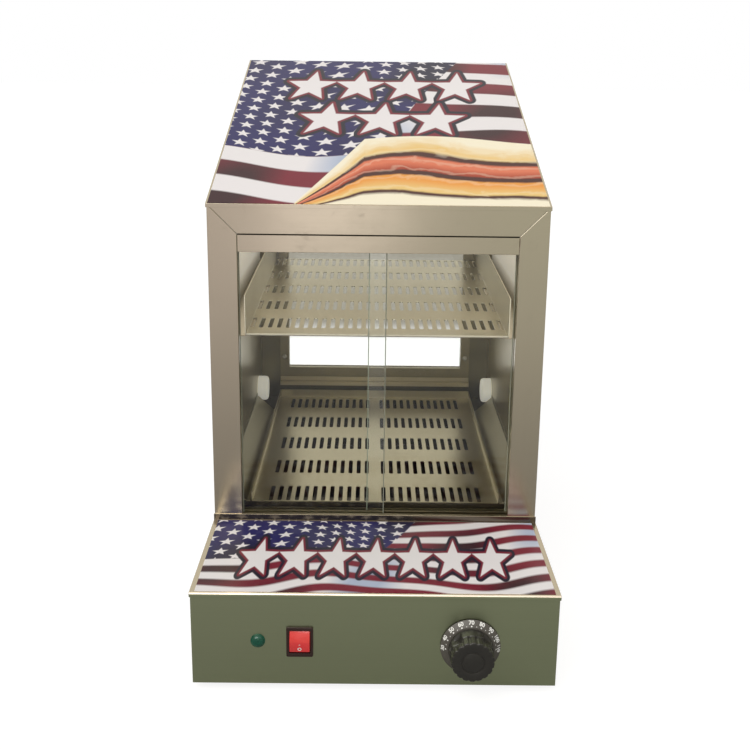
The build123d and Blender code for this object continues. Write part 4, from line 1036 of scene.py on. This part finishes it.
def build_feet():
    """Four rubber feet, wider at the top, each with a recess for its screw."""
    low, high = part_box("feet")
    radius = 14.0
    foot = lathe([(radius, 0), (12.1, 7.6), (11.7, 8.0), (5.4, 8.0), (5.0, 7.6), (5.0, 4.0),
                  (2.3, 4.0)])
    moves = [facing((x, y, high.z), (0, 0, -1))
             for x in (low.x + radius * MM, high.x - radius * MM)
             for y in (low.y + radius * MM, high.y - radius * MM)]
    stand_for(copies_of(foot, moves), "feet", rubber)


def pan_head(radius, height):
    """A pan head with a cross recess."""
    head = lathe([(0.96, 0), (1.0, 0.15), (0.95, 0.5), (0.8, 0.8), (0.55, 0.96), (0.05, 1.0)],
                 sides=32, unit=(radius, height))
    for wide, deep in ((1.1, 0.24), (0.24, 1.1)):
        scale = (radius * wide, radius * deep, height)
        cut(head, unit_shape(bpy.ops.mesh.primitive_cube_add, scale, (0, 0, height)))
    smooth(head, 38)
    return head


def build_screws(node, radius, height, seats):
    """Screw heads on their seats, each a spot and the way it faces."""
    head = pan_head(radius, height)
    moves = [
        facing(spot, way) @ Matrix.Rotation(radians(35 * i + 10), 4, "Z")
        for i, (spot, way) in enumerate(seats)
    ]
    stand_for(copies_of(head, moves), node, zinc)


def casing_seats():
    """Three screws low on each side, and three in each of two rows on the back."""
    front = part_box("bezel_stile_left")[0].y
    half_width, depth = 175 * MM, 425 * MM
    low_row, high_row = 15 * MM, 567 * MM
    sides = [((hand * half_width, front + behind, low_row), (hand, 0, 0))
             for hand in (-1, 1) for behind in (-140 * MM, 106.25 * MM, 400 * MM)]
    back = [((x, front + depth, z), (0, 1, 0))
            for z in (low_row, high_row) for x in (-162.5 * MM, 0, 162.5 * MM)]
    return sides + back


def window_seats(radius):
    """One screw at each corner of the rear window's frame."""
    low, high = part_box("rear_window_screws")
    return [((x, high.y, z), (0, -1, 0)) for x in (low.x + radius, high.x - radius)
            for z in (low.z + radius, high.z - radius)]


def build_dial():
    """Conical dial skirt under the grip."""
    dial = lathe([(28.7, 0), (28.85, 0.12), (23.3, 4.9), (23.0, 5.0), (21.0, 5.0), (3.3, 5.0)],
                 sides=128)
    dial.data.transform(facing(back_middle("knob_dial"), (0, -1, 0)))
    stand_for(dial, "knob_dial", dial_black)


def build_grip():
    """Fluted grip with four scoops for the fingers and a ring in its face."""
    flutes, flute_depth, flute_low = 18, 0.9 * MM, 10.7 * MM
    scoop_depth, scoop_low, scoop_high, scoop_end = 3.0 * MM, 2.6 * MM, 16 * MM, 1.2 * MM
    scoop_half = 17   # degrees
    grip = lathe([
        (21.2, 0), (21.6, 0.5), (21.55, 1.6), (21.4, 3.0), (21.3, 4.0), (21.2, 6.0),
        (21.05, 8.5), (20.95, 10.4), (20.4, 10.9), (20.4, 12.5), (20.4, 14.5), (20.4, 15.6),
        (20.4, 16.4), (20.4, 19.0), (20.4, 21.4), (20.25, 22.3), (19.8, 22.8), (19.1, 23.0),
        (11.6, 23.0), (11.3, 22.85), (11.1, 22.3), (10.2, 22.2), (9.8, 22.3), (9.6, 22.85),
        (9.3, 23.0), (0.3, 23.0),
    ], sides=216)
    for vertex in grip.data.vertices:
        point = vertex.co
        reach = hypot(point.x, point.y)
        if reach < 18 * MM:
            continue
        turn = atan2(point.y, point.x)
        depth = 0.0
        if point.z > flute_low:
            depth = flute_depth * max(0.0, cos(flutes * turn)) ** 0.7
        off = abs((turn / (pi / 2)) % 1.0 - 0.5) * 90
        if scoop_low < point.z < scoop_high and off < scoop_half:
            to_end = min(point.z - scoop_low, scoop_high - point.z)
            ends = min(1.0, to_end / scoop_end)
            depth = max(depth, scoop_depth * (1 - (off / scoop_half) ** 2) * ends)
        share = (reach - depth) / reach
        point.x *= share
        point.y *= share
    grip.data.transform(facing(back_middle("knob_grip"), (0, -1, 0)))
    smooth(grip, 42)
    stand_for(grip, "knob_grip", black_gloss)


MARK_LIFT = 0.03 * MM


def standing(spot, sideways, upward, normal):
    """The move that lays a mark on a surface at a spot, by that surface's three directions."""
    axes = Matrix((sideways, upward, normal)).transposed().to_4x4()
    return Matrix.Translation(spot) @ axes


def word(letters, size, thick):
    """Letters or digits as a thin mesh round the origin, readable from +Z."""
    deselect_all()
    bpy.ops.object.text_add()
    text = bpy.context.active_object
    text.data.body = letters
    text.data.size = size
    text.data.align_x = text.data.align_y = "CENTER"
    text.data.extrude = thick
    text.data.offset = size * 0.03
    text.data.resolution_u = 3
    bpy.ops.object.convert(target="MESH")
    return text


def build_dial_marks():
    """Numbers and dots on the dial's slope, from 30 at the left to 110 at the right."""
    outer, inner, rise = 29.0 * MM, 23.2 * MM, 5.0 * MM
    run = hypot(outer - inner, rise)
    ahead = Vector((0, -1, 0))

    def on_slope(angle, reach):
        radial = Vector((sin(angle), 0, cos(angle)))
        upward = (radial * (outer - inner) - ahead * rise) / run
        normal = (radial * rise + ahead * (outer - inner)) / run
        spot = back_middle("knob_dial") + radial * reach
        spot += ahead * (rise * (outer - reach) / (outer - inner)) + normal * MARK_LIFT
        return standing(spot, upward.cross(normal), upward, normal)

    parts = []
    for i in range(17):
        angle = radians(-90 + 180 / 16 * i)
        numbered = i % 2 == 0
        if numbered:
            number = word(str(30 + 5 * i), 5.4 * MM, 0.04 * MM)
            number.data.transform(on_slope(angle, 26.6 * MM))
            parts.append(number)
        dot = lathe([(0.75 if numbered else 0.42, 0), (0.4, 0.05)], sides=12)
        dot.data.transform(on_slope(angle, 24.0 * MM))
        parts.append(dot)
    settle(joined(parts), "dial_marks", sign_white, "knob")


def build_rocker_marks():
    """The two signs on the rocker's lower half, which slopes from its ridge to its foot."""
    low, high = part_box("rocker")
    panel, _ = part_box("control_front")
    pivot = Vector(((low.x + high.x) / 2, panel.y + 5 * MM, 53.5 * MM))
    ridge = pivot + Vector((0, -10.30, 1.447)) * MM
    foot = pivot + Vector((0, -8.80, -9.467)) * MM
    sideways = Vector((1, 0, 0))
    upward = (ridge - foot).normalized()
    normal = sideways.cross(upward)
    parts = []
    for letters, size, share in (("O", 4.8 * MM, 0.70), ("-", 4.0 * MM, 0.22)):
        sign = word(letters, size, 0.03 * MM)
        spot = ridge.lerp(foot, share) + normal * MARK_LIFT
        sign.data.transform(standing(spot, sideways, upward, normal))
        parts.append(sign)
    settle(joined(parts), "rocker_marks", sign_white, "rocker")


build_lens()
build_wall_caps()
build_feet()
build_screws("casing_screws", 4.0 * MM, 1.6 * MM, casing_seats())
build_screws("rear_window_screws", 3.4 * MM, 1.8 * MM, window_seats(3.4 * MM))
build_dial()
build_grip()
build_dial_marks()
build_rocker_marks()

# ---------------------------------------------------------------- stage, light and camera
WHITE = (1.0, 1.0, 1.0, 1.0)


def stage_material():
    """Pale paper: white in view with the object's shadow on it, dimmer where metal mirrors it.

    The mirrored part gets brighter away from the object, warm to its left and green to its
    right, as a room does behind the camera. Through glass its far end is dark.
    """
    warm, green = (1.1, 0.98, 0.98, 1.0), (0.86, 0.88, 0.72, 1.0)
    far_dark = (0.12, 0.1, 0.05, 1.0)
    material, tree, surface, point = start_material("pale_paper")
    fibre = noise(tree, point, 300.0, detail=3.0)
    base = blend_colours(tree, fibre, colour(134, 133, 131), colour(140, 139, 137))
    across, depth, _ = place(tree)
    ahead = depth * -1.0
    level = ahead.above(0.85, 0.5) * 0.24 + ahead.above(2.4, 1.1) * 0.16 + 0.08
    room = blend_colours(tree, across.above(0.0, 0.5), warm, green)
    path = add_node(tree, "ShaderNodeLightPath")
    through = Field(tree, path.outputs["Is Transmission Ray"])
    seen = through.most(path.outputs["Is Camera Ray"])
    glow = level * path.outputs["Is Glossy Ray"]
    light = blend_colours(tree, seen, room, WHITE)
    light = blend_colours(tree, through * depth.above(1.13, 0.09), light, far_dark)
    connect(
        tree, surface, Base_Color=base, Roughness=0.9, Specular_IOR_Level=0.0,
        Emission_Color=light, Emission_Strength=seen * 0.85 + glow,
    )
    return material


def build_stage():
    deselect_all()
    bpy.ops.mesh.primitive_plane_add(size=60)
    floor = bpy.context.active_object
    floor.name = "studio_floor"
    floor.data.materials.append(stage_material())


build_stage()


def hang_lamp(name, kind, spot, target, power, tint, **settings):
    """Hangs a lamp at a spot, turned to its target."""
    lamp = bpy.data.lights.new(name, kind)
    lamp.energy = power
    lamp.color = tint
    for setting, value in settings.items():
        setattr(lamp, setting, value)
    holder = new_object(name, lamp)
    holder.location = spot
    holder.rotation_euler = (Vector(target) - Vector(spot)).to_track_quat("-Z", "Y").to_euler()
    return holder


hang_lamp("key", "SUN", (-0.5, -0.9, 1.0), (0, 0, 0), 1.6, (1.0, 0.98, 0.95), angle=radians(50))
hang_lamp("window", "AREA", (-0.116, -2.2, 0.35), (-0.116, 0, 0.35), 0.5, (1.0, 0.93, 0.94),
          shape="RECTANGLE", size=0.39, size_y=0.7)
fill = hang_lamp("fill", "AREA", (1.9, -1.3, 1.2), (0, 0, 0.3), 2.0, (0.96, 0.99, 1.0),
                 shape="RECTANGLE", size=1.4, size_y=1.4)
fill.visible_glossy = False


def build_world():
    """White in view, an even soft light, and a room that metal and glass mirror."""
    ceiling, rear_wall = (1.0, 0.95, 0.88, 1.0), (0.62, 0.57, 0.47, 1.0)
    rear_low, rear_high = (0.74, 0.7, 0.59, 1.0), (0.86, 0.82, 0.72, 1.0)
    even_light = (0.55, 0.55, 0.55, 1.0)
    world = bpy.data.worlds.new("studio")
    bpy.context.scene.world = world
    world.use_nodes = True
    tree = world.node_tree
    tree.nodes.clear()
    coordinate = add_node(tree, "ShaderNodeTexCoord")
    split = add_node(tree, "ShaderNodeSeparateXYZ", {0: coordinate.outputs["Generated"]})
    rise = Field(tree, split.outputs["Z"])
    backward = Field(tree, split.outputs["Y"]).above(0.0, 0.35)
    front = blend_colours(tree, rise.above(0.5, 0.25), colour(160, 154, 140), ceiling)
    room = blend_colours(tree, backward, front, rear_wall)
    path = add_node(tree, "ShaderNodeLightPath")
    bounced = Field(tree, path.outputs["Glossy Depth"]).least(1.0) * backward
    behind = blend_colours(tree, rise.above(0.34, 0.1), rear_low, rear_high)
    room = blend_colours(tree, bounced, room, behind)
    through = path.outputs["Is Transmission Ray"]
    mirrored = Field(tree, path.outputs["Is Glossy Ray"]).most(through)
    seen = blend_colours(tree, mirrored, even_light, room)
    seen = blend_colours(tree, path.outputs["Is Camera Ray"], seen, WHITE)
    sky = add_node(tree, "ShaderNodeBackground", {"Color": seen, "Strength": 1.0})
    output = add_node(tree, "ShaderNodeOutputWorld")
    tree.links.new(sky.outputs[0], output.inputs["Surface"])


build_world()

# The picture is 750 pixels square. Its optical axis stands above the middle of the frame.
PICTURE = 750
FOCAL_PIXELS = 1050
AXIS_ROW = 337
CABINET_FRONT = -0.1364
CAMERA_SPOT = (-0.0081, CABINET_FRONT - 1.0635, 0.5854)
CAMERA_PITCH = radians(14.43)
CAMERA_YAW = radians(0.31)
CAMERA_ROLL = radians(0.7)

lens = bpy.data.cameras.new("camera")
lens.sensor_width = 36.0
lens.lens = FOCAL_PIXELS / PICTURE * lens.sensor_width
lens.shift_y = (AXIS_ROW - PICTURE / 2) / PICTURE
lens.clip_start = 0.01
lens.clip_end = 100.0
camera = new_object("camera", lens)
turn = (
    Matrix.Rotation(-CAMERA_YAW, 4, "Z")
    @ Matrix.Rotation(pi / 2 - CAMERA_PITCH, 4, "X")
    @ Matrix.Rotation(CAMERA_ROLL, 4, "Z")
)
camera.matrix_world = Matrix.Translation(CAMERA_SPOT) @ turn
bpy.context.scene.camera = camera
bpy.context.scene.view_settings.view_transform = "Standard"
